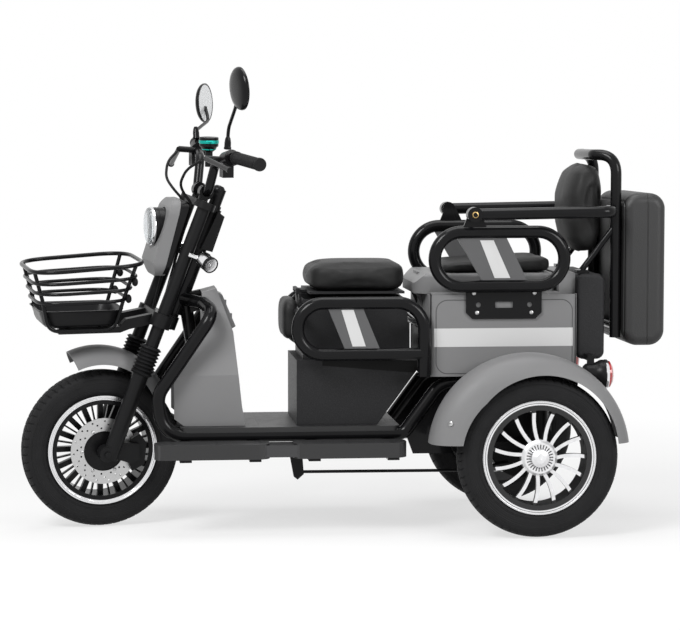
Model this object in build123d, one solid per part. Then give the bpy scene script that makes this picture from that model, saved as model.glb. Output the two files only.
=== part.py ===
"""Electric tricycle with a front basket, two seats, a rear trunk and a luggage case.

Frame: millimetres, +Z up, ground at Z = 0, the front of the vehicle towards -Y and its left side
towards +X.  While modelling, Y = 0 is the front axle; every piece is moved at the end so that
Y = 0 is the middle of the overall length.  The steering stands as parked, turned a little left.
"""
import os
from math import cos, hypot, pi, radians, sin, tan

from build123d import *

# --------------------------------------------------------------------------- driving dimensions
WHEELBASE = 1096.0           # front axle to rear axle
REAR_TRACK = 594.0           # between the middles of the rear tyres
TYRE_D = 410.0
TYRE_W = 80.0
BEAD_D = 256.0               # seat of the tyre on the rim
RIM_FLANGE_D = 287.0
RIM_FLANGE_W = 5.0
RAKE = 21.0                  # lean of the steering axis, degrees from upright
TRAIL = 18.0                 # the steering axis meets the ground this far ahead of the axle
PARKED_STEER = 12.0          # degrees to the left
FORK_OFFSET = 45.0           # fork legs ahead of the steering axis, square to it
FRAME_TUBE_D = 34.0
HOOP_TUBE_D = 32.0
BACKREST_TUBE_D = 26.0
BAR_TUBE_D = 24.0            # handlebar
RUNNING = 0.25               # radial gap of a turning fit
SEAM = 0.4                   # gap between neighbouring pieces
SHEET = 3.0                  # fender and cover walls
PANEL = 4.0                  # trunk, tray and seat box walls

# chassis rails
RAIL_X = 150.0
RAIL_Z = 248.0
REAR_RAIL_Z = 378.0
REAR_RAIL_END = 1226.0
CROSS_Y = (278.0, 500.0, 762.0)
CROSS_D = 24.0
FLOOR_TOP = 270.0
FLOOR_HALF = 165.0
FLOOR_T = 24.0
FLOOR_BACK = 765.0
WHEEL_WELL_R = 158.0         # hollow of the leg shield and floor round the front wheel
WHEEL_WELL_Y = 97.0

# foot boards outside the rails
FOOT_IN = 170.0
FOOT_OUT = 250.0
FOOT_TOP = 237.0
FOOT_T = 38.0
FOOT_FRONT = (137.0, 427.0)
FOOT_REAR = (486.0, 774.0)

# seats
BOX_HALF = 140.0
BOX_FRONT = 502.0
BOX_BACK = 828.0
BOX_FOOT = 709.0
BOX_SHOULDER = 438.0
NECK_HALF = 118.0
PAN_Z = 606.0
PAN_T = 6.0
SEAT_FRONT = 534.0
SEAT_BACK = 787.0
SEAT_HALF = 135.0
SEAT_TOP = 688.0
SEAT_HINGE = (513.0, 611.0)
HINGE_BARREL_D = 11.0
HINGE_PIN_D = 5.0

SWING_PIVOT = (915.0, 216.0)
SWING_X = 168.0              # middle of a trailing arm

# side hoops
HOOP_GAP = 14.0              # from the trunk's side to the middle of a hoop's tube
LOWER_HOOP = (500.0, 822.0, 457.0, 588.0)      # y0, y1, z0, z1 of the centre line
UPPER_HOOP = (848.0, 1181.0, 628.0, 766.0)

# trunk
TRUNK_HALF = 188.0
HOOP_X = TRUNK_HALF + HOOP_GAP
TRUNK_FRONT = 836.0
TRUNK_FLOOR = 397.0
TRUNK_TOP = 606.0
LID_FRONT = 806.0
LID_BACK = 1172.0
DECK = 48.0                  # depth of the fixed deck behind the lid
TRUNK_BACK = LID_BACK + DECK
LID_HALF = 150.0
LID_TOP = 658.0
LID_CORNER = 44.0
LID_HINGE = (828.0, 600.0)

# armrests and backrest
ARM_X = HOOP_X + 31.0
ARM_PIVOT = (944.0, 811.0)
ARM_END = 1300.0
ARM_BORE_D = 12.0
BACK_HALF = 140.0
BACK_LEG_Y = 1327.0
BACK_TOP = 960.0
BACK_BOW = 50.0              # the top of the loop stands this far ahead of its legs
STAY_FOOT_Y = 1239.0
REAR_CASE = (TRUNK_BACK + 74.0, 436.0, 656.0)      # back, bottom and top
REAR_CASE_HALF = 170.0
CASE_FRONT = 1341.0
CASE_BACK = 1452.0
CASE_HALF = 175.0
CASE_Z = (470.0, 862.0)

LAMP_X = 216.0
LAMP_Z = 402.0
LAMP_D = 76.0

# front end, measured with the steering straight
LEG_X = 80.0
LEG_D = 42.0
STANCHION_D = 34.0
LOWER_CROWN_Z = 528.0
HEAD_Z = (552.0, 706.0)
LOWER_CROWN_T = 34.0
TOP_CROWN_Z = 822.0
TOP_CROWN_T = 18.0
AXLE_D = 15.0
BASKET_FRONT = -197.0
BASKET_Z = (598.0, 679.0)       # lowest and highest ring, at the front
TRAY_Z = (530.0, 577.0)
WIRE_D = 9.0
UPRIGHT_D = 10.0
WIRE_SIDES = 6
RIM_WIRE_D = 12.0
BASKET_CROSS_Y = (-96.0, -14.0)
LAMP_AXIS_Z = 779.0
LEVER_END = 12.0
LEVER_END_D = 17.0
RIGHT_LEVER_DROOP = 40.0
CABLE_D = 7.0
BAR_BEND = (82.0, 282.0, 944.0)
BAR_KNEE = (188.0, 302.0, 970.0)
BAR_END = (330.0, 331.0, 964.0)
BAR_Z = 868.0

# --------------------------------------------------------------------------- derived places
AXLE_Z = TYRE_D / 2
REAR_X = REAR_TRACK / 2
STEER_DIR = Vector(0, sin(radians(RAKE)), cos(radians(RAKE)))
STEER_FOOT = Vector(0, -TRAIL, 0)


def steer_y(z):
    """Y of the steering axis at height z."""
    return -TRAIL + z * tan(radians(RAKE))


def leg_y(z):
    """Y of a fork leg's centre line at height z."""
    return steer_y(z) - FORK_OFFSET / cos(radians(RAKE))


TYRE_REACH = 4.0             # the turned front tyre stands this much less far forward
ORIGIN_Y = (CASE_BACK - TYRE_D / 2 + TYRE_REACH) / 2


# --------------------------------------------------------------------------- helpers
def rod(a, b, d):
    """Round bar of diameter d from point a to point b."""
    a, b = Vector(*a), Vector(*b)
    plane = Plane(origin=a, z_dir=b - a)
    return extrude(plane * Circle(d / 2), (b - a).length)


def bent_tube(points, radii, d):
    """Tube of diameter d along straight runs joined by arcs of the given radii."""
    path = FilletPolyline(*points, radius=radii)
    start = Plane(origin=path @ 0, z_dir=path % 0)
    return sweep(start * Circle(d / 2), path=path)


def gentle_tube(points, d):
    """Tube of diameter d along the points, each corner as wide as its two runs allow."""
    places = [Vector(*point) for point in points]
    radii = []
    for a, b, c in zip(places, places[1:], places[2:]):
        half_turn = radians((b - a).get_angle(c - b)) / 2
        radii.append(0.45 * min((b - a).length, (c - b).length) / tan(half_turn))
    return bent_tube(points, radii, d)


def side_face(points, rounding=0.0):
    """Face in the YZ plane from (y, z) corners, all corners rounded alike."""
    face = make_face(Polyline(*points, close=True))
    if rounding:
        face = fillet(face.vertices(), rounding)
    return Plane.YZ * face


def slab(points, x0, x1, rounding=0.0):
    """Plate from x0 to x1 with a (y, z) outline."""
    return Pos(x0, 0, 0) * extrude(side_face(points, rounding), x1 - x0)


def block(x0, x1, y0, y1, z0, z1):
    """Box between two corners."""
    return Pos(x0, y0, z0) * Box(x1 - x0, y1 - y0, z1 - z0, align=(Align.MIN,) * 3)


def disc_x(x0, x1, y, z, d):
    """Cylinder along X between x0 and x1."""
    return rod((x0, y, z), (x1, y, z), d)


def mirrored(solid):
    """The same piece on the other side of the vehicle."""
    return mirror(solid, about=Plane.YZ)


def both_sides(solid):
    """A left piece with its right twin, as one compound."""
    return [solid, mirrored(solid)]


def turned(points_xr, y, z):
    """Body of revolution about the X line through (y, z), from an (x, radius) outline."""
    face = make_face(Polyline(*points_xr, close=True))
    return Pos(0, y, z) * revolve(face, Axis.X)


# --------------------------------------------------------------------------- wheels
def tyre(x, y):
    """Pneumatic tyre, open towards the rim, with its tread crown and bulged side walls."""
    half = TYRE_W / 2
    bead = BEAD_D / 2 + 0.3
    flange = RIM_FLANGE_D / 2
    crown = TYRE_D / 2
    inner_half = half - RIM_FLANGE_W - 2
    wall = 8.0
    outer = [
        Line((inner_half, bead), (inner_half, flange)),
        ThreePointArc((inner_half, flange), (half, (flange + crown) / 2 + 1), (half - 7, crown - 11)),
        ThreePointArc((half - 7, crown - 11), (0, crown), (7 - half, crown - 11)),
        ThreePointArc((7 - half, crown - 11), (-half, (flange + crown) / 2 + 1), (-inner_half, flange)),
        Line((-inner_half, flange), (-inner_half, bead)),
        Line((-inner_half, bead), (wall - inner_half, bead)),
        Line((wall - inner_half, bead), (wall - inner_half, flange)),
        ThreePointArc((wall - inner_half, flange), (0, crown - wall - 2), (inner_half - wall, flange)),
        Line((inner_half - wall, flange), (inner_half - wall, bead)),
        Line((inner_half - wall, bead), (inner_half, bead)),
    ]
    return Pos(x, y, AXLE_Z) * revolve(make_face(outer), Axis.X)


def rim_barrel():
    """Rim barrel with a turned-up flange on each side, about the X axis at the origin."""
    half = TYRE_W / 2 - 2
    seat = BEAD_D / 2
    flange = RIM_FLANGE_D / 2
    outline = [
        (-half, seat - 8), (-half, flange), (RIM_FLANGE_W - half, flange), (RIM_FLANGE_W - half, seat),
        (half - RIM_FLANGE_W, seat), (half - RIM_FLANGE_W, flange), (half, flange), (half, seat - 8),
    ]
    return revolve(make_face(Polyline(*outline, close=True)), Axis.X)


def rear_rim(side):
    """Cast rear wheel: barrel, 15 curved spokes near the outer face, hub and ribbed cap."""
    count = 15
    hub_r = 43.0
    seat = BEAD_D / 2
    spoke_w, spoke_t = 9.0, 14.0
    face_x = TYRE_W / 2 - 16
    hub = turned([(-42, 11), (-42, 30), (-30, 34), (face_x - 6, 34), (face_x - 6, hub_r + 4), (face_x + 8, hub_r + 4),
                  (face_x + 16, hub_r - 4), (face_x + 16, 27), (face_x + 24, 22), (face_x + 30, 12),
                  (face_x + 31, 0), (face_x + 12, 0), (face_x + 12, 11)], 0, 0)
    mid = (hub_r + seat) / 2
    rim = rim_barrel() + hub
    path = ThreePointArc((hub_r, 0), (mid, 5.0), (seat - 4, 0))
    spoke_face = trace(path, line_width=spoke_w)
    spoke = Plane.YZ * extrude(spoke_face, spoke_t)
    for n in range(count):
        rim += Rot(X=360 * n / count) * Pos(face_x - 4, 0, 0) * spoke
    if side < 0:
        rim = Rot(Z=180) * rim
    return Pos(side * REAR_X, WHEELBASE, AXLE_Z) * rim


def front_rim():
    """Cast front wheel: barrel, 16 wide spokes with a thin rib between each two, and a bored hub."""
    count = 16
    bore = AXLE_D / 2 + RUNNING
    hub = turned([(-48, bore), (-48, 26), (-20, 30), (-8, 62), (8, 62), (20, 55), (46, 55), (46, bore)], 0, 0)
    rim = rim_barrel() + hub
    spoke = Pos(-7, -7, 58) * Box(14, 14, BEAD_D / 2 - 62, align=(Align.MIN,) * 3)
    rib = Pos(-5, -2, 58) * Box(10, 4, BEAD_D / 2 - 62, align=(Align.MIN,) * 3)
    for n in range(count):
        rim += Rot(X=360 * n / count) * spoke
        rim += Rot(X=360 * (n + 0.5) / count) * rib
    return Pos(0, 0, AXLE_Z) * rim


def brake_disc():
    """Drilled disc on the left of the front hub."""
    outer_r, inner_r, t, x0 = 86.0, 52.0, 4.0, 46.3
    disc = extrude(Plane.YZ * (Circle(outer_r) - Circle(inner_r)), t)
    for ring, r in enumerate((60.0, 69.0, 78.0)):
        for n in range(15):
            a = 2 * pi * (n + ring / 3) / 15
            disc -= disc_x(-1, t + 1, r * cos(a), r * sin(a), 5)
    return Pos(x0, 0, AXLE_Z) * disc


# --------------------------------------------------------------------------- chassis
def rail_path(side):
    """Centre line of one main tube, from the head tube round the shield and back under the trunk."""
    x = side * RAIL_X
    points = [
        (side * 18, steer_y(590) + 12, 588), (side * 70, 268, 580), (x, 292, 563), (x, 147, 352),
        (x, 160, RAIL_Z), (x, 776, RAIL_Z),
        (x, 872, REAR_RAIL_Z), (x, REAR_RAIL_END, REAR_RAIL_Z),
    ]
    return points, [30, 40, 60, 65, 30, 60]


def rail(side, extra=0.0):
    """One main tube; extra makes the larger tool that cuts its seat in a neighbour."""
    points, radii = rail_path(side)
    return bent_tube(points, radii, FRAME_TUBE_D + extra)


def down_tube(extra=0.0):
    """Tube from the head tube to the front cross tube, inside the leg shield."""
    return rod((0, steer_y(600) + 8, 600), (0, CROSS_Y[0], RAIL_Z), FRAME_TUBE_D + extra)


def main_frame():
    """Welded tube frame with the head tube, gussets, cross tubes and foot board bearers."""
    frame = rail(1) + rail(-1)
    head_a = (0, steer_y(HEAD_Z[0]), HEAD_Z[0])
    head_b = (0, steer_y(HEAD_Z[1]), HEAD_Z[1])
    frame += rod(head_a, head_b, 48)
    frame += down_tube()
    for y in CROSS_Y:
        frame += rod((-RAIL_X, y, RAIL_Z - 4), (RAIL_X, y, RAIL_Z - 4), CROSS_D)
    for y in (930.0, 1180.0):
        frame += rod((-RAIL_X, y, REAR_RAIL_Z - 4), (RAIL_X, y, REAR_RAIL_Z - 4), CROSS_D)
    gusset = slab([(208, 600), (262, 612), (280, 566), (226, 548)], 8, 14)
    frame += gusset
    frame += mirrored(gusset)
    for y in (215.0, 390.0, 540.0, 740.0):
        under = FOOT_TOP - FOOT_T
        bearer = block(RAIL_X - 4, FOOT_OUT - 14, y - 15, y + 15, under - 8, under - SEAM)
        bearer += block(RAIL_X - 4, RAIL_X + 4, y - 15, y + 15, FOOT_TOP - FOOT_T - 6, RAIL_Z - 8)
        frame += bearer
        frame += mirrored(bearer)
    for side in (1, -1):
        x = side * RAIL_X
        frame += slab([(780, 250), (870, 362), (950, 372), (950, 236), (900, 196), (800, 196)], x - 4, x + 4)
    low = Vector(*head_a) - STEER_DIR * 20
    high = Vector(*head_b) + STEER_DIR * 20
    frame -= rod(tuple(low), tuple(high), 36)
    return frame


def floor_board():
    """Ribbed floor of the step-through, with channels for the rails and a hollow for the wheel."""
    board = block(-FLOOR_HALF, FLOOR_HALF, 205, FLOOR_BACK, FLOOR_TOP - FLOOR_T, FLOOR_TOP)
    board = fillet(board.edges().filter_by(Axis.Z), 20)
    board -= Pos(0, WHEEL_WELL_Y, FLOOR_TOP - 12) * Cylinder(WHEEL_WELL_R, 60)
    for side in (1, -1):
        board -= rail(side, 2 * SEAM)
    board -= down_tube(2 * SEAM)
    for y in CROSS_Y:
        board -= rod((-RAIL_X, y, RAIL_Z - 4), (RAIL_X, y, RAIL_Z - 4), CROSS_D + 2 * SEAM)
    return max(board.solids(), key=lambda s: s.volume)


def foot_boards():
    """Front and rear foot boards with the sloped bracket between them, on both sides."""
    z0 = FOOT_TOP - FOOT_T
    front = block(FOOT_IN, FOOT_OUT, FOOT_FRONT[0], FOOT_FRONT[1], z0, FOOT_TOP)
    rear = block(FOOT_IN, FOOT_OUT, FOOT_REAR[0], FOOT_REAR[1], z0, FOOT_TOP)
    front = fillet(front.edges().filter_by(Axis.Z), 30)
    rear = fillet(rear.edges().filter_by(Axis.Z), 30)
    link = block(FOOT_IN, FOOT_OUT - 8, FOOT_FRONT[1] - 40, FOOT_REAR[0] + 40, z0 + 4, FOOT_TOP - 4)
    board = front + rear + link
    return both_sides(board)


def shield_outline():
    """Side outline of the leg shield inside the main tubes."""
    return [(264, 608), (302, 618), (343, 508), (363, 320), (372, FLOOR_TOP + SEAM), (215, FLOOR_TOP + SEAM),
            (176, 300), (170, 340), (180, 375), (268, 506)]


def leg_shield():
    """Moulded leg shield: wide at the floor, narrow at the top, hollowed in front for the wheel."""
    shield = extrude(side_face(shield_outline()), 128, both=True)
    half_top, half_low = 62.0, 128.0
    keep = make_face(Polyline((-half_low, FLOOR_TOP), (half_low, FLOOR_TOP), (half_low, 400),
                              (half_top, 625), (-half_top, 625), (-half_low, 400), close=True))
    shield &= extrude(Plane.XZ * keep, -800)
    shield -= Pos(0, WHEEL_WELL_Y, 300) * Cylinder(WHEEL_WELL_R, 400)
    for side in (1, -1):
        shield -= rail(side, 2 * SEAM)
    shield -= down_tube(2 * SEAM)
    gusset = slab([(206, 602), (264, 614), (282, 566), (226, 546)], 7.6, 14.4)
    shield -= gusset
    shield -= mirrored(gusset)
    return max(shield.solids(), key=lambda s: s.volume)


def shield_back_panel():
    """Access panel with two latches on the back of the leg shield."""
    outline = [(307, 606), (318, 600), (352, 519), (341, 512)]
    panel = slab(outline, -48, 48)
    panel -= Pos(0, SEAM, 0) * slab(shield_outline(), -60, 60)
    for z in (545.0, 580.0):
        y = 352 - (z - 519) * 0.42
        panel += Pos(38, y - 2, z) * Box(10, 8, 14)
    return max(panel.solids(), key=lambda s: s.volume)


def seat_box():
    """Hollow box under the front seat: wide below, narrower neck up to the seat."""
    low = [(BOX_FRONT, FLOOR_TOP + SEAM), (BOX_FOOT, FLOOR_TOP + SEAM), (BOX_BACK, 432), (BOX_BACK, BOX_SHOULDER),
           (BOX_FRONT, BOX_SHOULDER)]
    neck = [(BOX_FRONT + 18, BOX_SHOULDER - 2), (BOX_BACK - 31, BOX_SHOULDER - 2), (BOX_BACK - 41, PAN_Z - 14),
            (BOX_FRONT + 18, PAN_Z - 14)]
    outer = extrude(side_face(low), BOX_HALF, both=True) + extrude(side_face(neck), NECK_HALF, both=True)
    inner_low = [(BOX_FRONT + PANEL, FLOOR_TOP + PANEL), (BOX_FOOT - 2, FLOOR_TOP + PANEL),
                 (BOX_BACK - PANEL - 2, 432), (BOX_BACK - PANEL - 2, BOX_SHOULDER - PANEL),
                 (BOX_FRONT + PANEL, BOX_SHOULDER - PANEL)]
    inner_neck = [(BOX_FRONT + 18 + PANEL, BOX_SHOULDER - 20), (BOX_BACK - 31 - PANEL, BOX_SHOULDER - 20),
                  (BOX_BACK - 41 - PANEL, PAN_Z + 20), (BOX_FRONT + 18 + PANEL, PAN_Z + 20)]
    outer -= extrude(side_face(inner_low), BOX_HALF - PANEL, both=True)
    outer -= extrude(side_face(inner_neck), NECK_HALF - PANEL, both=True)
    y, z = SEAT_HINGE
    outer += hinge_ears(y, z, [(BOX_FRONT + 18, 575), (BOX_FRONT + 18 + PANEL, 575), (y + 5, z + 4), (y - 5, z + 4),
                               (y - 5, z - 7), (y + 2, z - 9)])
    return outer


def hinge_ears(y, z, outline):
    """Two ears with the hinge pin between them."""
    ears = disc_x(-52, 52, y, z, HINGE_PIN_D)
    for x in (-52, 44):
        ears += slab(outline, x, x + 8)
    return ears


def battery_block():
    """Battery, one plain block on the floor of the seat box."""
    return block(-110, 110, 512, 690, FLOOR_TOP + PANEL + SEAM, 420)


def nose_pad():
    """Moulded grey pad in front of the seat neck."""
    pad = slab([(486, 592), (513, 592), (513, 486), (484, 484), (469, 505), (469, 548)], -95, 95)
    pad = fillet(pad.edges().filter_by(Axis.X).group_by(Axis.Y)[0], 14)
    return pad - seat_cross_tubes(2 * SEAM)


def lower_hoop_path(x):
    """Centre line of a lower side hoop: round front end, straight back leg."""
    y0, y1, z0, z1 = LOWER_HOOP
    r = (z1 - z0) / 2
    return [(x, y1, 400), (x, y1, z1), (x, y0, z1), (x, y0, z0), (x, y1, z0)], [70, r - 0.5, r - 0.5]


def lower_hoop(side, extra=0.0):
    """One lower side hoop; extra makes the larger tool that cuts its seat in a neighbour."""
    points, radii = lower_hoop_path(side * HOOP_X)
    return bent_tube(points, radii, HOOP_TUBE_D + extra)


def seat_cross_tubes(extra=0.0):
    """Cross tubes between the lower hoops, before and behind the seat box."""
    y0, y1 = LOWER_HOOP[:2]
    front = rod((-HOOP_X, y0 + 8, 560), (HOOP_X, y0 + 8, 560), 22 + extra)
    return front + rod((-HOOP_X, y1 - 6, 530), (HOOP_X, y1 - 6, 530), 22 + extra)


def side_hoops():
    """Lower side hoops with the cross tubes that join them under the seat."""
    y1 = LOWER_HOOP[1]
    hoops = lower_hoop(1) + lower_hoop(-1) + seat_cross_tubes()
    for side in (1, -1):
        hoops += rod((side * HOOP_X, y1, 412), (side * (RAIL_X + 5), y1, 412), 26)
    return hoops


def hoop_plates():
    """Slanted grey plates that fill the middle of each hoop."""
    plates = []
    lower = slab([(574, 580), (663, 580), (710, 466), (621, 466)], HOOP_X - 5, HOOP_X + 5)
    upper = slab([(900, 758), (1028, 758), (1088, 636), (972, 636)], HOOP_X - 5, HOOP_X + 5)
    lower -= lower_hoop(1, 2 * SEAM)
    upper -= stadium(HOOP_X, UPPER_HOOP, HOOP_TUBE_D + 2 * SEAM)
    lower = max(lower.solids(), key=lambda s: s.volume)
    upper = max(upper.solids(), key=lambda s: s.volume)
    for side in (1, -1):
        for plate in (lower, upper):
            plates.append(plate if side > 0 else mirrored(plate))
    return plates


def stadium(x, bounds, d):
    """Closed stadium-shaped tube loop in the plane X = x."""
    y0, y1, z0, z1 = bounds
    r = (z1 - z0) / 2
    zc = (z0 + z1) / 2
    loop = None
    for z in (z0, z1):
        run = rod((x, y0 + r, z), (x, y1 - r, z), d)
        loop = run if loop is None else loop + run
    for y, turn in ((y1 - r, 1), (y0 + r, -1)):
        arc = CenterArc((0, 0), r, -90, 180) if turn > 0 else CenterArc((0, 0), r, 90, 180)
        path = Pos(x, y, zc) * (Plane.YZ * arc)
        start = Plane(origin=path @ 0, z_dir=path % 0)
        loop += sweep(start * Circle(d / 2), path=path)
    return loop


def upper_hoops():
    """Stadium hoops beside the rear seat, with the bolted bracket below and the armrest lug on top."""
    y0, y1, z0, z1 = UPPER_HOOP
    x = HOOP_X
    hoop = stadium(x, UPPER_HOOP, HOOP_TUBE_D)
    bracket = slab([(930, z0), (1125, z0), (1125, 560), (1109, 544), (946, 544), (930, 560)],
                   TRUNK_HALF + SEAM, TRUNK_HALF + SEAM + 5)
    slot_z = 580.0
    bracket -= block(TRUNK_HALF - 5, TRUNK_HALF + HOOP_GAP, 1005, 1051, slot_z - 8, slot_z + 8)
    for y in (962.0, 1094.0):
        bracket -= disc_x(TRUNK_HALF - 5, x, y, slot_z, 13)
    hoop += bracket
    lug = slab([(916, z1 + 4), (984, z1 + 4), (964, ARM_PIVOT[1] + 2), (934, ARM_PIVOT[1] + 4)], x + 2, x + 9)
    lug += disc_x(x + 2, x + 9, ARM_PIVOT[0], ARM_PIVOT[1], 34)
    lug += disc_x(x + 2, ARM_X + 22, ARM_PIVOT[0], ARM_PIVOT[1], ARM_BORE_D)
    hoop += lug
    return both_sides(hoop)


def armrest(side):
    """Fold-up armrest bar, hinged at its front and bent in at the back."""
    y, z = ARM_PIVOT
    x = ARM_X
    bar = bent_tube([(x, y, z), (x, ARM_END, z + 6), (x - 66, ARM_END, z + 6)], [26], 30)
    boss = disc_x(x - 15.5, x + 17, y, z, 38)
    bar = bar + boss - disc_x(x - 30, x + 30, y, z, ARM_BORE_D + 2 * RUNNING)
    return bar if side > 0 else mirrored(bar)


def trunk_body():
    """Open-topped trunk with a rear deck that carries the backrest."""
    body = block(-TRUNK_HALF, TRUNK_HALF, TRUNK_FRONT, TRUNK_BACK, TRUNK_FLOOR, TRUNK_TOP)
    body = fillet(body.edges().filter_by(Axis.Z), 18)
    body -= block(-TRUNK_HALF + PANEL, TRUNK_HALF - PANEL, TRUNK_FRONT + PANEL, TRUNK_BACK - PANEL,
                  TRUNK_FLOOR + PANEL, TRUNK_TOP + 20)
    deck = block(-LID_HALF, LID_HALF, LID_BACK + 6, TRUNK_BACK, TRUNK_TOP - 8, LID_TOP)
    body += deck
    y, z = LID_HINGE
    body += hinge_ears(y, z, [(TRUNK_FRONT + 2, 560), (TRUNK_FRONT + 2, z + 4), (y - 5, z + 4),
                              (y - 5, z - 6)])
    return body


def trunk_lid():
    """Domed trunk lid that carries the rear seat and hinges at its front edge."""
    outline = [(LID_FRONT, TRUNK_TOP + SEAM), (LID_FRONT, 632), (LID_FRONT + 28, LID_TOP), (LID_BACK, LID_TOP),
               (LID_BACK, TRUNK_TOP + SEAM)]
    length = LID_BACK - LID_FRONT
    middle = Pos(0, (LID_FRONT + LID_BACK) / 2, LID_TOP)
    plan = extrude(middle * RectangleRounded(2 * LID_HALF, length, LID_CORNER), 120, both=True)
    lid = extrude(side_face(outline), LID_HALF, both=True) & plan
    lid = fillet(lid.faces().sort_by(Axis.Z)[-1].edges().sort_by(Axis.Y)[1:], 10)
    inner = [(LID_FRONT + PANEL, TRUNK_TOP - 20), (LID_FRONT + PANEL, 630), (LID_FRONT + 30, LID_TOP - PANEL),
             (LID_BACK - PANEL, LID_TOP - PANEL), (LID_BACK - PANEL, TRUNK_TOP - 20)]
    inside = RectangleRounded(2 * (LID_HALF - PANEL), length - 2 * PANEL, LID_CORNER - PANEL)
    hollow = extrude(middle * inside, 120, both=True)
    hollow -= block(-LID_HALF, LID_HALF, LID_FRONT, LID_BACK, LID_TOP - 12, LID_TOP + 200)
    lid -= extrude(side_face(inner), LID_HALF - PANEL, both=True) & hollow
    flange = block(-TRUNK_HALF + 2, TRUNK_HALF - 2, TRUNK_FRONT + 6, LID_BACK,
                   TRUNK_TOP + SEAM, TRUNK_TOP + SEAM + 4)
    flange -= block(-LID_HALF + 2, LID_HALF - 2, TRUNK_FRONT, LID_BACK - 6, TRUNK_TOP - 10, TRUNK_TOP + 20)
    y, z = LID_HINGE
    barrel = disc_x(-40, 40, y, z, HINGE_BARREL_D) + block(-40, 40, y - 3, y + 3, z, LID_TOP - 2)
    return lid + flange + barrel - disc_x(-50, 50, y, z, HINGE_PIN_D + 2 * RUNNING)


def rear_cushion():
    """Rear seat pad on the trunk lid."""
    front, back = LID_BACK - 304, LID_BACK - 4
    pad = slab([(front, LID_TOP + SEAM), (back, LID_TOP + SEAM), (back, LID_TOP + 38), (back - 48, LID_TOP + 40),
                (front + 32, LID_TOP + 22), (front, LID_TOP + 12)], -LID_HALF + 6, LID_HALF - 6)
    return fillet(pad.faces().sort_by(Axis.X)[-1].edges() + pad.faces().sort_by(Axis.X)[0].edges(), 5)


def front_cushion():
    """Front seat cushion."""
    pad = block(-SEAT_HALF, SEAT_HALF, SEAT_FRONT, SEAT_BACK, PAN_Z + PAN_T + SEAM, SEAT_TOP)
    pad = fillet(pad.edges().filter_by(Axis.Z), 50)
    return fillet(pad.faces().sort_by(Axis.Z)[-1].edges(), 28)


def seat_pan():
    """Plate under the front cushion, with its hinge barrel at the front."""
    y, z = SEAT_HINGE
    pan = block(-SEAT_HALF + 8, SEAT_HALF - 8, SEAT_FRONT + 2, SEAT_BACK - 6, PAN_Z, PAN_Z + PAN_T)
    pan += block(-40, 40, y, SEAT_FRONT + 4, PAN_Z, PAN_Z + PAN_T)
    pan += disc_x(-40, 40, y, z, HINGE_BARREL_D)
    return pan - disc_x(-50, 50, y, z, HINGE_PIN_D + 2 * RUNNING)


def backrest_frame():
    """Backrest tubes over and behind the cushion, with stays down to the trunk deck."""
    x, y, z = BACK_HALF, BACK_LEG_Y, BACK_TOP
    bow = y - BACK_BOW
    loop = bent_tube([(-x, y, 490), (-x, y, z), (-x, bow, z), (x, bow, z), (x, y, z), (x, y, 490)],
                     [24, 24, 24, 24], BACKREST_TUBE_D)
    loop += rod((-x, y, 520), (x, y, 520), 22)
    for side in (1, -1):
        foot_z = REAR_CASE[2] + SEAM
        loop += rod((side * x, y, 780), (side * x, STAY_FOOT_Y, foot_z + 8), 16)
        loop += block(side * x - 16, side * x + 16, STAY_FOOT_Y - 16, STAY_FOOT_Y + 16, foot_z, foot_z + 9)
    return loop


def backrest_cushion():
    """Upholstered backrest."""
    front = Spline((1248, 703), (1216, 735), (1202, 800), (1204, 860), (1222, 915), (1254, 940))
    rest = Polyline((1254, 940), (1300, 938), (1294, 703), (1248, 703))
    pad = Pos(-126, 0, 0) * extrude(Plane.YZ * make_face([front, rest]), 252)
    corners = extrude(Pos(0, 1300, 700) * RectangleRounded(252, 2 * (1300 - 1200), 34), 300)
    return pad & corners


def rear_case():
    """Black equipment case on the back wall of the trunk."""
    back, z0, z1 = REAR_CASE
    case = block(-REAR_CASE_HALF, REAR_CASE_HALF, TRUNK_BACK + SEAM, back, z0, z1)
    case = fillet(case.edges().filter_by(Axis.X), 20)
    return fillet(case.faces().sort_by(Axis.X)[-1].edges() + case.faces().sort_by(Axis.X)[0].edges(), 10)


def luggage_case():
    """Soft-cornered luggage case hung on the backrest tubes."""
    case = block(-CASE_HALF, CASE_HALF, CASE_FRONT, CASE_BACK, CASE_Z[0], CASE_Z[1])
    case = fillet(case.edges().filter_by(Axis.X), 40)
    return fillet(case.faces().sort_by(Axis.X)[-1].edges() + case.faces().sort_by(Axis.X)[0].edges(), 24)


def rear_fenders():
    """Rear fenders: rounded over the tyre, deep in front, cut out round the wheel."""
    cy, cz, r = WHEELBASE - 19, AXLE_Z + 5, 254.0
    skirt_x = 352.0
    inner_x = TRUNK_HALF + 8
    bow = Spline((inner_x, r - 14), (inner_x + 44, r - 4), (290, r), (326, r - 9), (345, r - 32),
                 (skirt_x, r - 74))
    ring = Pos(0, cy, cz) * revolve(trace(bow, line_width=SHEET), Axis.X)
    keep = block(0, 500, cy - r - 5, cy + r + 5, 240, 700)
    ring &= keep
    arch = disc_x(300, 500, WHEELBASE + 9, AXLE_Z + 19, 2 * 190)
    fender = ring - arch - rod((LAMP_X, 1200, LAMP_Z + 8), (LAMP_X, 1400, LAMP_Z), LAMP_D + 12)
    return both_sides(max(fender.solids(), key=lambda s: s.volume))


def tail_lamps():
    """Round tail lamps on short cones beside the rear case."""
    z = LAMP_Z
    lamp = rod((LAMP_X, 1228, z + 5), (LAMP_X, 1270, z + 2), 56)
    lamp += rod((LAMP_X, 1268, z + 2), (LAMP_X, 1306, z), LAMP_D)
    lamp += block(REAR_CASE_HALF + SEAM, LAMP_X, 1240, 1256, z + 34, z + 50)
    lamp += block(LAMP_X - 8, LAMP_X + 8, 1240, 1256, z, z + 50)
    return both_sides(lamp)


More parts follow.
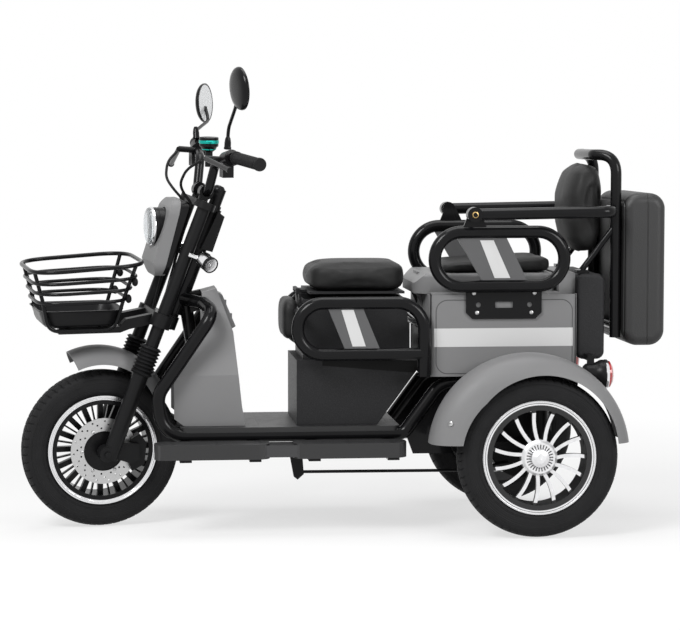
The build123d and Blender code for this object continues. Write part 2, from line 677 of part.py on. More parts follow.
def rear_axle():
    """Axle tube with its motor housing and trailing arms."""
    z = AXLE_Z
    half = REAR_X - 46
    axle = disc_x(-half, half, WHEELBASE, z, 46)
    axle += disc_x(-REAR_X - 6, REAR_X + 6, WHEELBASE, z, 20)
    axle += disc_x(-70, 80, WHEELBASE, z, 170)
    for side in (1, -1):
        x = side * SWING_X
        y, top = WHEELBASE + 24, z + 17
        arm = slab([(SWING_PIVOT[0] - 10, SWING_PIVOT[1] + 16), (y, top), (y, top - 32),
                    (SWING_PIVOT[0] - 10, SWING_PIVOT[1] - 16)], x - 8, x + 8)
        arm += disc_x(x - 12, x + 12, *SWING_PIVOT, 36)
        axle += arm
    return axle


def rear_shocks():
    """Upright shock absorbers between the trailing arms and the rear rails."""
    x, y = SWING_X - 18, WHEELBASE + 34
    shock = rod((x, y, AXLE_Z + 23), (x, y, REAR_RAIL_Z - 18), 20)
    shock += rod((x, y, AXLE_Z + 41), (x, y, REAR_RAIL_Z - 34), 44)
    return both_sides(shock)


def brake_linkage():
    """Foot brake hanger under the floor with its long rod to the rear axle."""
    x = 90.0
    hanger = slab([(486, 196), (520, 196), (524, 138), (508, 124), (498, 132)], x - 4, x + 4)
    hanger += bent_tube([(x, 512, 144), (x, WHEELBASE - 166, 142), (x, WHEELBASE - 36, 160)], [60], 8)
    return hanger


# --------------------------------------------------------------------------- steering
def fork():
    """Fork legs, crowns, steerer and axle."""
    body = None
    for side in (1, -1):
        x = side * LEG_X
        z0, z1 = AXLE_Z - 14, 406.0
        lower = rod((x, leg_y(z0), z0), (x, leg_y(z1), z1), LEG_D)
        upper = rod((x, leg_y(z1 - 20), z1 - 20), (x, leg_y(TOP_CROWN_Z + 8), TOP_CROWN_Z + 8), STANCHION_D)
        boss = disc_x(x - 20, x + 20, 0, AXLE_Z, 40)
        leg = lower + upper + boss
        body = leg if body is None else body + leg
    body += disc_x(-LEG_X - 26, LEG_X + 26, 0, AXLE_Z, AXLE_D)
    body += slab([(8, 196), (64, 176), (86, 186), (86, 226), (24, 236)], 71.5, 84)
    outline = Pos(0, -FORK_OFFSET) * Rectangle(2 * LEG_X, 40)
    outline += Pos(0, -FORK_OFFSET / 2) * Rectangle(70, FORK_OFFSET)
    outline += Circle(19) + Pos(-LEG_X, -FORK_OFFSET) * Circle(27) + Pos(LEG_X, -FORK_OFFSET) * Circle(27)
    for z, t in ((LOWER_CROWN_Z, LOWER_CROWN_T), (TOP_CROWN_Z, TOP_CROWN_T)):
        centre = Vector(0, steer_y(z), z)
        seat = Plane(origin=centre - STEER_DIR * (t / 2), x_dir=(1, 0, 0), z_dir=STEER_DIR)
        body += extrude(seat * outline, t)
    low = (0, steer_y(LOWER_CROWN_Z), LOWER_CROWN_Z)
    high = (0, steer_y(TOP_CROWN_Z), TOP_CROWN_Z)
    body += rod(low, high, 30)
    body += rod((0, steer_y(714), 714), (0, steer_y(TOP_CROWN_Z), TOP_CROWN_Z), 46)
    body += rod(high, (0, steer_y(872), 872), 32)
    return body + basket_arms()


def gaiters():
    """Pleated rubber gaiters on the fork legs."""
    pleats = 8
    z0, z1 = 407.0, 478.0
    out = []
    for side in (1, -1):
        a = Vector(side * LEG_X, leg_y(z0), z0)
        b = Vector(side * LEG_X, leg_y(z1), z1)
        length = (b - a).length
        step = length / pleats
        points = [(STANCHION_D / 2 + SEAM, 0)]
        for n in range(pleats):
            points += [(23, n * step), (29, (n + 0.5) * step)]
        points += [(23, length), (STANCHION_D / 2 + SEAM, length)]
        plane = Plane(origin=a, x_dir=(1, 0, 0), z_dir=b - a)
        ring = revolve(Plane.XZ * make_face(Polyline(*points, close=True)), Axis.Z)
        out.append(plane * ring)
    return out


def front_fender():
    """Front fender, curved over the tyre, on two stays from the lower fork legs."""
    cy, cz, r = -7.0, 284.0, 187.5
    half = 60.0
    bow = Spline((-half, r - 40), (-half + 10, r - 17), (-half + 30, r - 4), (0, r), (half - 30, r - 4),
                 (half - 10, r - 17), (half, r - 40))
    ring = Pos(0, cy, cz) * revolve(trace(bow, line_width=SHEET), Axis.X)
    a0, a1 = radians(114), radians(20)
    far = 600.0
    wedge = slab([(cy, cz), (cy + far * cos(a0), cz + far * sin(a0)), (cy, cz + far),
                  (cy + far, cz + far), (cy + far * cos(a1), cz + far * sin(a1))], -100, 100)
    fender = ring & wedge
    for side in (1, -1):
        x = side * LEG_X
        fender -= rod((x, leg_y(300), 300), (x, leg_y(500), 500), LEG_D + 2 * SEAM)
        fender -= rod((x, leg_y(405), 405), (x, leg_y(500), 500), 60)
    return max(fender.solids(), key=lambda s: s.volume)


def basket_ring(t, d):
    """One closed wire ring of the basket, t going from 0 at the lowest ring to 1 at the rim."""
    low, high = BASKET_Z
    y0 = BASKET_FRONT + RIM_WIRE_D / 2 + 18 * (1 - t)
    y1 = 57 + 38 * t
    half = 116 + 19 * t
    rise = 5 + 12 * t
    z = low + (high - low) * t
    level = Plane(origin=(0, (y0 + y1) / 2, z + rise / 2), x_dir=(1, 0, 0), z_dir=(0, -rise, y1 - y0))
    path = (level * RectangleRounded(2 * half, hypot(y1 - y0, rise), 78 + 6 * t)).face().outer_wire()
    return sweep(Plane(origin=path @ 0, z_dir=path % 0) * RegularPolygon(d / 2, WIRE_SIDES), path=path)


def basket_hoop(side):
    """One bent wire that carries the rings: down the front, under the tray and up the back."""
    floor = TRAY_Z[0] - UPRIGHT_D / 2 - SEAM
    points = [(108, -168, 681), (88, -155, 598), (85, -116, floor), (85, 6, floor), (88, 41, 602),
              (108, 72, 695)]
    path = FilletPolyline(*[(side * x, y, z) for x, y, z in points], radius=[20, 30, 30, 20])
    start = Plane(origin=path @ 0, z_dir=path % 0)
    return sweep(start * RegularPolygon(UPRIGHT_D / 2, WIRE_SIDES), path=path)


def basket():
    """Wire basket: flared rings on two bent wires, with a moulded tray in its bottom."""
    wires = basket_ring(1.0, RIM_WIRE_D)
    for t in (0.0, 0.3, 0.62):
        wires += basket_ring(t, WIRE_D)
    wires += basket_hoop(1) + basket_hoop(-1)
    for y in BASKET_CROSS_Y:
        wires += cross_wire(y)
    z0, z1 = TRAY_Z
    tray = loft([Plane.XY.offset(z0) * Pos(0, -54) * RectangleRounded(150, 124, 30),
                 Plane.XY.offset(z0 + 8) * Pos(0, -54) * RectangleRounded(164, 142, 34),
                 Plane.XY.offset(z1) * Pos(0, -55) * RectangleRounded(184, 176, 38)], ruled=True)
    hollow = loft([Plane.XY.offset(z0 + PANEL) * Pos(0, -54) * RectangleRounded(146, 122, 28),
                   Plane.XY.offset(z0 + 9) * Pos(0, -54) * RectangleRounded(156, 134, 31),
                   Plane.XY.offset(z1 + 4) * Pos(0, -55) * RectangleRounded(178, 170, 35)], ruled=True)
    return wires, tray - hollow


def cross_wire(y, extra=0.0):
    """Straight wire between the two bent wires, through the arms under the tray."""
    z = TRAY_Z[0] - UPRIGHT_D / 2 - SEAM
    return rod((-85, y, z), (85, y, z), 7 + extra)


def basket_arms():
    """Flat arms from the lower crown under the basket."""
    top = TRAY_Z[0] - SEAM
    arm = slab([(-118, top - 16), (-118, top), (38, top), (56, 548), (136, 562), (136, 536), (64, 522),
                (40, top - 16)], 38, 62)
    for y in BASKET_CROSS_Y:
        arm -= cross_wire(y, 2 * SEAM)
    return arm + mirrored(arm)


def headlamp():
    """Round headlamp shell with its lens."""
    z = LAMP_AXIS_Z
    shell = rod((0, 137, z), (0, 186, z), 96)
    lens = rod((0, 121, z), (0, 136.6, z), 100)
    return shell, fillet(lens.edges().sort_by(Axis.Y)[0], 7)


def headlamp_covers():
    """Tall cover behind the headlamp, leaning with the fork: grey front half and black back half."""
    outline = Pos(0, 0, 752) * extrude(Plane.XZ * RectangleRounded(136, 196, 38), 400, both=True)
    front = slab([(134, 654), (124, 690), (170, 832), (182, 850), (201, 850), (150, 654)], -68, 68) & outline
    back = slab([(150.5, 654), (201.5, 850), (212, 846), (220, 836), (160, 656)], -66, 66) & outline
    z = LAMP_AXIS_Z
    seat = rod((0, 100, z), (0, 186.4, z), 96.8)
    return front - seat, back - seat


def handlebar():
    """High-rise handlebar clamped on the top crown."""
    y = leg_y(BAR_Z) + 2
    left = [(58, y, BAR_Z), BAR_BEND, BAR_KNEE, BAR_END]
    right = [(-a, b, c) for a, b, c in reversed(left)]
    bar = bent_tube(right + left, [30, 30, 20, 20, 30, 30], BAR_TUBE_D)
    for x in (-34, 34):
        crown = Vector(x, steer_y(TOP_CROWN_Z), TOP_CROWN_Z)
        clamp = Vector(x, y, BAR_Z)
        foot = clamp - STEER_DIR * ((clamp - crown).dot(STEER_DIR) - TOP_CROWN_T / 2 - SEAM)
        bar += rod(tuple(foot), (x, y, BAR_Z), 26)
        bar += disc_x(x - 12, x + 12, y, BAR_Z, 38)
    return bar


def on_bar(a, b, x):
    """Point at X = x on the handlebar run from a to b."""
    t = (x - a[0]) / (b[0] - a[0])
    return tuple(p + (q - p) * t for p, q in zip(a, b))


def grips():
    """Rubber grips."""
    start, end, beyond = (on_bar(BAR_KNEE, BAR_END, x) for x in (202, BAR_END[0] + SEAM, BAR_END[0] + 6))
    grip = rod(start, beyond, 34) - rod(on_bar(BAR_KNEE, BAR_END, 195), end, BAR_TUBE_D + 2 * SEAM)
    return both_sides(grip)


def hand_controls():
    """Switch boxes, brake levers and mirror clamps on the handlebar; the right lever hangs lower."""
    a, b = (on_bar(BAR_BEND, BAR_KNEE, x) for x in (146, 181))
    bar = rod(on_bar(BAR_BEND, BAR_KNEE, 100), on_bar(BAR_BEND, BAR_KNEE, 210), BAR_TUBE_D + 2 * SEAM)
    out = []
    for droop in (0.0, RIGHT_LEVER_DROOP):
        pivot, tip = (148, 240, 964), (312, 258, 950 - droop)
        control = rod(a, b, 42) + block(148, 184, 276, 304, 918, 956)
        control += rod(a, pivot, 16) + rod(pivot, tip, 13)
        control += rod(tip, (tip[0] + LEVER_END, tip[1] + 1, tip[2] - 1), LEVER_END_D)
        out.append(max((control - bar).solids(), key=lambda s: s.volume))
    return [out[0], mirrored(out[1])]


def brake_cables():
    """Outer cables from the lever mounts, down behind the headlamp cover and into the lower crown."""
    left = gentle_tube([(136, 232, 958), (108, 200, 934), (80, 190, 895), (58, 205, 868), (48, 231, 838), (46, 205, 760),
                        (46, 149.4, 561.2)], CABLE_D)
    return both_sides(left)


def display():
    """Round display on a short stem."""
    puck = rod((0, 285, 972), (0, 285, 1006), 52)
    puck += rod((0, 285, 930), (0, 285, 975), 20)
    return puck


def mirrors():
    """Round mirrors on bent stems."""
    out = []
    near, far = (1, 304.0, 1148.0, 282.0, 1040, 0.14), (-1, 332.0, 1072.0, 350.0, 1010, 0.35)
    for side, reach, z, y, knee, toe in (near, far):
        x = side * reach
        stem = bent_tube([(side * 166, 292, 989), (side * 172, 292, knee), (x - side * 40, y + 6, z - 44),
                          (x - side * 10, y + 4, z)], [18, 20], 9)
        aim = Vector(-side * toe, 1, 0).normalized()
        c = Vector(x, y, z)
        head = rod(tuple(c - aim * 9), tuple(c + aim * 9), 108)
        out.append(stem + head)
    return out


def turn_signals():
    """Bullet turn signals on stalks from the fork."""
    lamp = rod((LEG_X + 25, leg_y(716), 716), (114, 236, 706), 12)
    lamp += rod((106, 241, 707), (150, 256, 692), 42)
    return both_sides(lamp)


def brake_caliper():
    """Front brake caliper behind the left fork leg."""
    body = slab([(62, 172), (70, 154), (102, 170), (108, 226), (90, 250), (68, 238)], 38.6, 71)
    body -= disc_x(44, 53, 0, AXLE_Z, 178)
    return max(body.solids(), key=lambda s: s.volume)


def control_box():
    """Black control box behind the steering column."""
    box = slab([(300, 817), (317, 804), (285, 713), (255, 722)], -45, 45)
    box -= rod((0, steer_y(700), 700), (0, steer_y(850), 850), 46 + 2 * SEAM)
    return max(box.solids(), key=lambda s: s.volume)


# --------------------------------------------------------------------------- nodes
def steered(shape):
    """Turn a piece of the steering to its parked angle."""
    axis = Axis(STEER_FOOT, STEER_DIR)
    return shape.rotate(axis, PARKED_STEER)


def save(name, pieces, turn=False):
    """Write one node as a STEP file."""
    if not isinstance(pieces, (list, tuple)):
        pieces = [pieces]
    solids = []
    for piece in pieces:
        if turn:
            piece = steered(piece)
        piece = Pos(0, -ORIGIN_Y, 0) * piece
        solids += list(piece.solids())
    shape = solids[0] if len(solids) == 1 else Compound(children=solids)
    shape.label = name
    export_step(shape, os.path.join("parts", name + ".step"))


def main():
    os.makedirs("parts", exist_ok=True)
    save("main_frame", main_frame())
    save("floor_board", floor_board())
    save("foot_boards", foot_boards())
    save("leg_shield", leg_shield())
    save("shield_back_panel", shield_back_panel())
    save("seat_box", seat_box())
    save("battery_block", battery_block())
    save("nose_pad", nose_pad())
    save("side_hoops", side_hoops())
    save("hoop_plates", hoop_plates())
    save("upper_hoops", upper_hoops())
    save("armrest_left", armrest(1))
    save("armrest_right", armrest(-1))
    save("trunk_body", trunk_body())
    save("trunk_lid", trunk_lid())
    save("rear_cushion", rear_cushion())
    save("seat_pan", seat_pan())
    save("front_cushion", front_cushion())
    save("backrest_frame", backrest_frame())
    save("backrest_cushion", backrest_cushion())
    save("rear_case", rear_case())
    save("luggage_case", luggage_case())
    save("rear_fenders", rear_fenders())
    save("tail_lamps", tail_lamps())
    save("rear_axle", rear_axle())
    save("rear_shocks", rear_shocks())
    save("brake_linkage", brake_linkage())
    for side, name in ((1, "left"), (-1, "right")):
        save("tyre_rear_" + name, tyre(side * REAR_X, WHEELBASE))
        save("rim_rear_" + name, rear_rim(side))
    save("tyre_front", tyre(0, 0), turn=True)
    save("rim_front", front_rim(), turn=True)
    save("brake_disc", brake_disc(), turn=True)
    save("fork", fork(), turn=True)
    save("fork_gaiters", gaiters(), turn=True)
    save("front_fender", front_fender(), turn=True)
    wires, tray = basket()
    save("basket_wires", wires, turn=True)
    save("basket_tray", tray, turn=True)
    shell, lens = headlamp()
    save("headlamp_shell", shell, turn=True)
    save("headlamp_lens", lens, turn=True)
    front, back = headlamp_covers()
    save("headlamp_plate", front, turn=True)
    save("headlamp_back", back, turn=True)
    save("handlebar", handlebar(), turn=True)
    save("grips", grips(), turn=True)
    save("hand_controls", hand_controls(), turn=True)
    save("brake_cables", brake_cables(), turn=True)
    save("display", display(), turn=True)
    save("mirrors", mirrors(), turn=True)
    save("turn_signals", turn_signals(), turn=True)
    save("brake_caliper", brake_caliper(), turn=True)
    save("control_box", control_box(), turn=True)


if __name__ == "__main__":
    main()
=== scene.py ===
from math import atan2, cos, hypot, pi, radians, sin

import bmesh
import bpy
import numpy as np
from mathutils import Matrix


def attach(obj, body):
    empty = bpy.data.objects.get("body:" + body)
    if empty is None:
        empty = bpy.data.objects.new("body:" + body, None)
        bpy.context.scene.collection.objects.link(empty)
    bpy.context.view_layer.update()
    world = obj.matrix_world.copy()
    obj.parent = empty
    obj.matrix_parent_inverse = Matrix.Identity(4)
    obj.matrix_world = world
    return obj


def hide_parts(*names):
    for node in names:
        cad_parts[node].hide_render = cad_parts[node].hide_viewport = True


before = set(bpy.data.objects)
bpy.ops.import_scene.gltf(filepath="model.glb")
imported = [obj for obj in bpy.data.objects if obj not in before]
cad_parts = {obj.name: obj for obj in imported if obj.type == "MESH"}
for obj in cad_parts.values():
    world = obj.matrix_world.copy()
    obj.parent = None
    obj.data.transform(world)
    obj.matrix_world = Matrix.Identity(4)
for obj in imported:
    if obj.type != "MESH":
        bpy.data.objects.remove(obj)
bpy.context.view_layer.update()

# ---------------------------------------------------------------- sizes shared by the pieces, metres
ORIGIN_Y = 0.6255            # the front axle stands this far ahead of the frame's origin
RAKE = radians(21.0)         # the steering axis leans back from upright
PARKED = radians(12.0)       # the steering stands turned to the left
TRAIL = 0.018                # the steering axis meets the ground plane this far ahead of the axle's foot
STEER_FOOT = np.array((0.0, -TRAIL, 0.0))
STEER_DIR = np.array((0.0, sin(RAKE), cos(RAKE)))
WHEELBASE = 1.096
REAR_X = 0.297
AXLE_Z = 0.205
RIM_HALF = 0.038
STEERING = "steering"
CHASSIS = "chassis"
FRONT_WHEEL = "front_wheel"
scene = bpy.context.scene


def turn_about(axis, angle):
    """Rotation matrix: c I + (1 - c) k k' + s [k]."""
    c, s = cos(angle), sin(angle)
    x, y, z = axis
    across = np.array(((0, -z, y), (z, 0, -x), (-y, x, 0)))
    return c * np.eye(3) + (1 - c) * np.outer(axis, axis) + s * across


TURN = turn_about(STEER_DIR, PARKED)


def mm(*numbers):
    """Millimetres as metres."""
    return np.array(numbers, float) / 1000


# ---------------------------------------------------------------- shader arithmetic
class Value:
    """A number socket of a shader; arithmetic on it adds Math nodes."""

    def __init__(self, paint, socket):
        self.paint = paint
        self.socket = socket

    def math(self, operation, *others):
        """Math node with this value first and the others after it."""
        inputs = dict(enumerate((self, *others)))
        return self.paint.node("ShaderNodeMath", {"operation": operation}, inputs)

    def __add__(self, other):
        return self.math("ADD", other)

    def __sub__(self, other):
        return self.math("SUBTRACT", other)

    def __rsub__(self, other):
        return (self * -1.0).math("ADD", other)

    def __mul__(self, other):
        return self.math("MULTIPLY", other)

    def __pow__(self, other):
        return self.math("POWER", other)

    def __lt__(self, other):
        return self.math("LESS_THAN", other)

    def __gt__(self, other):
        return self.math("GREATER_THAN", other)

    def __abs__(self):
        return self.math("ABSOLUTE")

    def least(self, other):
        return self.math("MINIMUM", other)

    def most(self, other):
        return self.math("MAXIMUM", other)

    def ramp(self, start, end):
        """0 at start, 1 at end, eased between them."""
        return self.paint.node("ShaderNodeMapRange", {"interpolation_type": "SMOOTHSTEP"},
                               {"Value": self, "From Min": start, "From Max": end})


class Paint:
    """A procedural material: node() adds any node, the rest are the finishes made from it."""

    def __init__(self, name, roughness=0.5, metallic=0.0, **sockets):
        self.material = bpy.data.materials.new(name)
        self.material.use_nodes = True
        self.tree = self.material.node_tree
        self.shader = self.tree.nodes["Principled BSDF"]
        self.set(Roughness=roughness, Metallic=metallic, **sockets)

    def set(self, **sockets):
        """Sets or links sockets of the surface shader; underscores stand for spaces."""
        for key, value in sockets.items():
            self.feed(self.shader.inputs[key.replace("_", " ")], value)
        return self

    def feed(self, socket, value):
        """Links a Value, or a node's socket, or sets a constant."""
        if isinstance(value, Value):
            value = value.socket
        if isinstance(value, bpy.types.NodeSocket):
            self.tree.links.new(value, socket)
        else:
            socket.default_value = value

    def node(self, kind, settings=None, sockets=None, out=0):
        """Any node: its settings go in first, then the values or links of its sockets."""
        made = self.tree.nodes.new(kind)
        for key, value in (settings or {}).items():
            setattr(made, key, value)
        for key, value in (sockets or {}).items():
            self.feed(made.inputs[key], value)
        return Value(self, made.outputs[out])

    def place(self):
        """Object coordinates."""
        return self.node("ShaderNodeTexCoord", out="Object")

    def axes(self):
        """X, Y and Z of the object coordinates, in metres of the frame."""
        parts = self.tree.nodes.new("ShaderNodeSeparateXYZ")
        self.feed(parts.inputs[0], self.place())
        return [Value(self, out) for out in parts.outputs]

    def noise(self, scale, detail=2.0, stretch=None):
        """Noise between 0 and 1, its place stretched along the axes on request."""
        place = self.place()
        if stretch:
            place = self.node("ShaderNodeMapping", {}, {"Vector": place, "Scale": stretch})
        return self.node("ShaderNodeTexNoise", {}, {"Vector": place, "Scale": scale, "Detail": detail})

    def cells(self, scale):
        """Distance in a field of cells."""
        return self.node("ShaderNodeTexVoronoi", {}, {"Vector": self.place(), "Scale": scale})

    def mix(self, factor, low, high):
        """Colour between low and high."""
        return self.node("ShaderNodeMix", {"data_type": "RGBA"},
                         {"Factor": factor, 6: (*low, 1.0) if isinstance(low, tuple) else low,
                          7: (*high, 1.0) if isinstance(high, tuple) else high}, out=2)

    def bump(self, height, strength, distance):
        """Bump from a height, on the surface shader's normal."""
        self.set(Normal=self.node("ShaderNodeBump", {}, {"Height": height, "Strength": strength,
                                                        "Distance": distance}))
        return self

    def tinted(self, colour, spread):
        """Base colour that drifts by the given share, lighter and darker."""
        drift = self.noise(9.0, 3.0)
        return self.set(Base_Color=self.mix(drift, shade(colour, 1 - spread), shade(colour, 1 + spread)))


def shade(colour, share):
    """Colour multiplied by a share, at most 1."""
    return tuple(min(1.0, c * share) for c in colour)


def gloss_enamel(name, colour):
    """Stoved gloss enamel with a faint orange peel."""
    paint = Paint(name, roughness=0.2, Coat_Weight=0.12, Coat_Roughness=0.05, Specular_IOR_Level=0.1)
    paint.tinted(colour, 0.25)
    paint.set(Roughness=paint.noise(14.0) * 0.1 + 0.16)
    return paint.bump(paint.noise(260.0), 0.05, 0.0006)


def moulded_plastic(name, colour, roughness=0.42, grain=0.12):
    """Injection-moulded plastic: even tone, fine spark-eroded grain."""
    paint = Paint(name, roughness=roughness, Specular_IOR_Level=0.14)
    paint.tinted(colour, 0.05)
    paint.set(Roughness=paint.noise(7.0) * 0.08 + (roughness - 0.04))
    return paint.bump(paint.noise(900.0, 1.0), grain, 0.0003)


def grained_plastic(name, colour):
    """Charcoal plastic with a leather grain moulded in."""
    paint = Paint(name, roughness=0.5, Specular_IOR_Level=0.14)
    grain = paint.cells(420.0)
    paint.set(Base_Color=paint.mix(grain, shade(colour, 0.7), shade(colour, 1.5)))
    paint.set(Roughness=grain * 0.2 + 0.42)
    return paint.bump(grain, 0.35, 0.0006)


def leatherette(name, colour):
    """Coated upholstery fabric: pebble grain over soft wrinkles."""
    paint = Paint(name, roughness=0.5, Specular_IOR_Level=0.14)
    pebbles = paint.cells(520.0)
    wrinkles = paint.noise(38.0, 4.0)
    paint.set(Base_Color=paint.mix(wrinkles, shade(colour, 0.7), shade(colour, 1.35)))
    paint.set(Roughness=pebbles * 0.16 + 0.4)
    return paint.bump(pebbles * 0.4 + wrinkles, 0.3, 0.0012)


def rubber(name, colour, roughness=0.62):
    """Vulcanised rubber with a dusty, uneven sheen."""
    paint = Paint(name, roughness=roughness, Specular_IOR_Level=0.12)
    dust = paint.noise(26.0, 5.0)
    paint.set(Base_Color=paint.mix(dust, shade(colour, 0.75), shade(colour, 1.5)))
    paint.set(Roughness=dust * 0.2 + (roughness - 0.1))
    return paint.bump(paint.noise(500.0), 0.15, 0.0005)


def bare_metal(name, colour, roughness):
    """Metal with fine tool marks."""
    paint = Paint(name, roughness=roughness, metallic=1.0)
    marks = paint.noise(300.0)
    paint.set(Base_Color=paint.mix(marks, shade(colour, 0.85), colour))
    paint.set(Roughness=marks * 0.16 + (roughness - 0.08))
    return paint.bump(marks, 0.06, 0.0004)


def clear_plastic(name, colour=(0.9, 0.93, 0.95)):
    """Clear moulded lens with faint flutes."""
    paint = Paint(name, roughness=0.05, IOR=1.49, Transmission_Weight=0.9)
    flutes = paint.noise(90.0, 0.0, stretch=(1.0, 0.2, 0.2))
    paint.set(Base_Color=paint.mix(flutes, shade(colour, 0.92), colour))
    return paint.bump(flutes, 0.1, 0.001)


def tinted_lens(name, colour):
    """Coloured lens with a cat's-eye grid behind its gloss."""
    paint = Paint(name, roughness=0.14, Coat_Weight=0.8, Coat_Roughness=0.04)
    grid = paint.cells(170.0)
    paint.set(Base_Color=paint.mix(grid, shade(colour, 0.5), shade(colour, 1.25)))
    return paint.bump(grid, 0.3, 0.0012)


def frame_place(y):
    """Y in the frame, in metres, of a distance behind the front axle in millimetres."""
    return y / 1000 - ORIGIN_Y


def rounded_box(a, b, centre, half, corner):
    """Distance to a rounded rectangle in the plane of a and b, below 0 inside it."""
    across, along = (abs(v - c) - (h - corner) for v, c, h in zip((a, b), centre, half))
    out = (across.most(0.0) ** 2 + along.most(0.0) ** 2) ** 0.5
    return out + across.most(along).least(0.0) - corner


def trunk_grey(name):
    """Body grey with the sunk panel line and the light stripe on the trunk's sides."""
    paint = moulded_plastic(name, BODY_GREY)
    x, y, z = paint.axes()
    side = abs(x) > 0.1872
    edge = rounded_box(y, z, (frame_place(1030), 0.498), (0.176, 0.094), 0.03)
    line = (1.0 - abs(edge).ramp(0.0006, 0.0018)) * side
    band = (abs(z - 0.4965) < 0.0235) * side
    plain = paint.mix(paint.noise(9.0, 3.0), shade(BODY_GREY, 0.95), shade(BODY_GREY, 1.05))
    striped = paint.mix(band, plain, STRIPE_GREY)
    paint.set(Base_Color=paint.mix(line * (1.0 - band), striped, shade(BODY_GREY, 0.45)))
    return paint.bump(paint.noise(900.0, 1.0) * 0.03 - line, 0.5, 0.002)


def case_black(name):
    """Grained black with the two seams that run round the luggage case."""
    paint = Paint(name, roughness=0.45)
    y = paint.axes()[1]
    seam = 1.0 - abs(abs(y - frame_place(1375)) - 0.029).ramp(0.0006, 0.0022)
    grain = paint.cells(420.0)
    skin = paint.mix(grain, shade(CASE_BLACK, 0.7), shade(CASE_BLACK, 1.4))
    paint.set(Base_Color=paint.mix(seam, skin, SEAM_AND_SHADE_BLACK))
    paint.set(Roughness=grain * 0.2 + 0.4)
    return paint.bump(grain * 0.12 - seam, 0.6, 0.003)


def ribbed_plastic(name):
    """Charcoal floor plastic with raised ribs along the vehicle."""
    paint = Paint(name, roughness=0.5)
    x, y, _ = paint.axes()
    wave = (x * 420.0).math("SINE").ramp(0.3, 0.7)
    cross = 1.0 - abs((y * 9.0).math("FRACT") - 0.5).ramp(0.46, 0.49)
    rib = wave * cross
    paint.set(Base_Color=paint.mix(rib, shade(CHARCOAL, 0.6), shade(CHARCOAL, 1.5)))
    paint.set(Roughness=paint.noise(40.0) * 0.12 + 0.4)
    return paint.bump(rib + paint.noise(700.0) * 0.08, 0.7, 0.002)


def faced_alloy(name):
    """Cast rear wheel: black in its depth, turned bright on its spokes, lip and ribbed cap."""
    paint = Paint(name, roughness=0.3)
    x, y, z = paint.axes()
    y, z = y - frame_place(1000 * WHEELBASE), z - AXLE_Z
    reach = (y ** 2 + z ** 2) ** 0.5
    turn = y.math("ARCTAN2", z)
    slots = ((turn * 26.0).math("SINE") > 0.35) * (abs(reach - 0.0285) < 0.0055)
    well = (abs(reach - 0.1235) < 0.0095) + (abs(reach - 0.1375) < 0.0007)
    out = (abs(x) - REAR_X).ramp(0.0328, 0.0334) * (1.0 - well) * (1.0 - slots)
    marks = paint.noise(240.0, 2.0, stretch=(1.0, 0.3, 0.3))
    bright = paint.mix(marks, (0.66, 0.66, 0.67), (0.80, 0.80, 0.81))
    paint.set(Base_Color=paint.mix(out, (0.006, 0.006, 0.0065), bright), Metallic=out * 0.75)
    paint.set(Roughness=marks * 0.14 + 0.26)
    return paint.bump(marks, 0.06, 0.0004)


def ringed_alloy(name):
    """Turned alloy with the fine circles that the tool leaves."""
    paint = Paint(name, roughness=0.22, metallic=1.0)
    marks = paint.noise(300.0)
    paint.set(Base_Color=paint.mix(marks, (0.66, 0.66, 0.67), (0.84, 0.84, 0.85)))
    paint.set(Roughness=marks * 0.15 + 0.16)
    return paint.bump(marks, 0.05, 0.0004)


def mirror_glass(name):
    """Silvered glass, very slightly misted."""
    paint = Paint(name, roughness=0.34, metallic=0.3)
    mist = paint.noise(6.0)
    paint.set(Base_Color=paint.mix(mist, (0.74, 0.75, 0.76), (0.84, 0.85, 0.86)))
    return paint.set(Roughness=mist * 0.08 + 0.3)


def pocket_charcoal(name):
    """Grained charcoal with the side pocket's opening painted near black as its shade: z over 0.424 -
    0.0866 (y - 0.566).
    """
    paint = Paint(name, roughness=0.5, Specular_IOR_Level=0.14)
    x, y, z = paint.axes()
    grain = paint.cells(420.0)
    low = 0.4235 - (y - frame_place(566)) * 0.0866
    # painted shade: the pocket's opening is coloured near black and sunk, standing in for the shade inside
    # it
    pocket_shade = (z > low) * (z < 0.436) * (abs(x) > 0.139) * (y > frame_place(568)) * (y < frame_place(812))
    body = paint.mix(grain, shade(CHARCOAL, 0.7), shade(CHARCOAL, 1.3))
    paint.set(Base_Color=paint.mix(pocket_shade, body, SEAM_AND_SHADE_BLACK), Roughness=grain * 0.2 + 0.36)
    return paint.bump(grain * 0.15 - pocket_shade, 0.5, 0.003)


BODY_GREY = (0.185, 0.185, 0.187)
STRIPE_GREY = (0.56, 0.56, 0.56)
CHARCOAL = (0.018, 0.018, 0.019)
CASE_BLACK = (0.007, 0.007, 0.0073)
# near black of the luggage case's seams, and of the painted shade in the seat box's side pocket
SEAM_AND_SHADE_BLACK = (0.001, 0.001, 0.001)

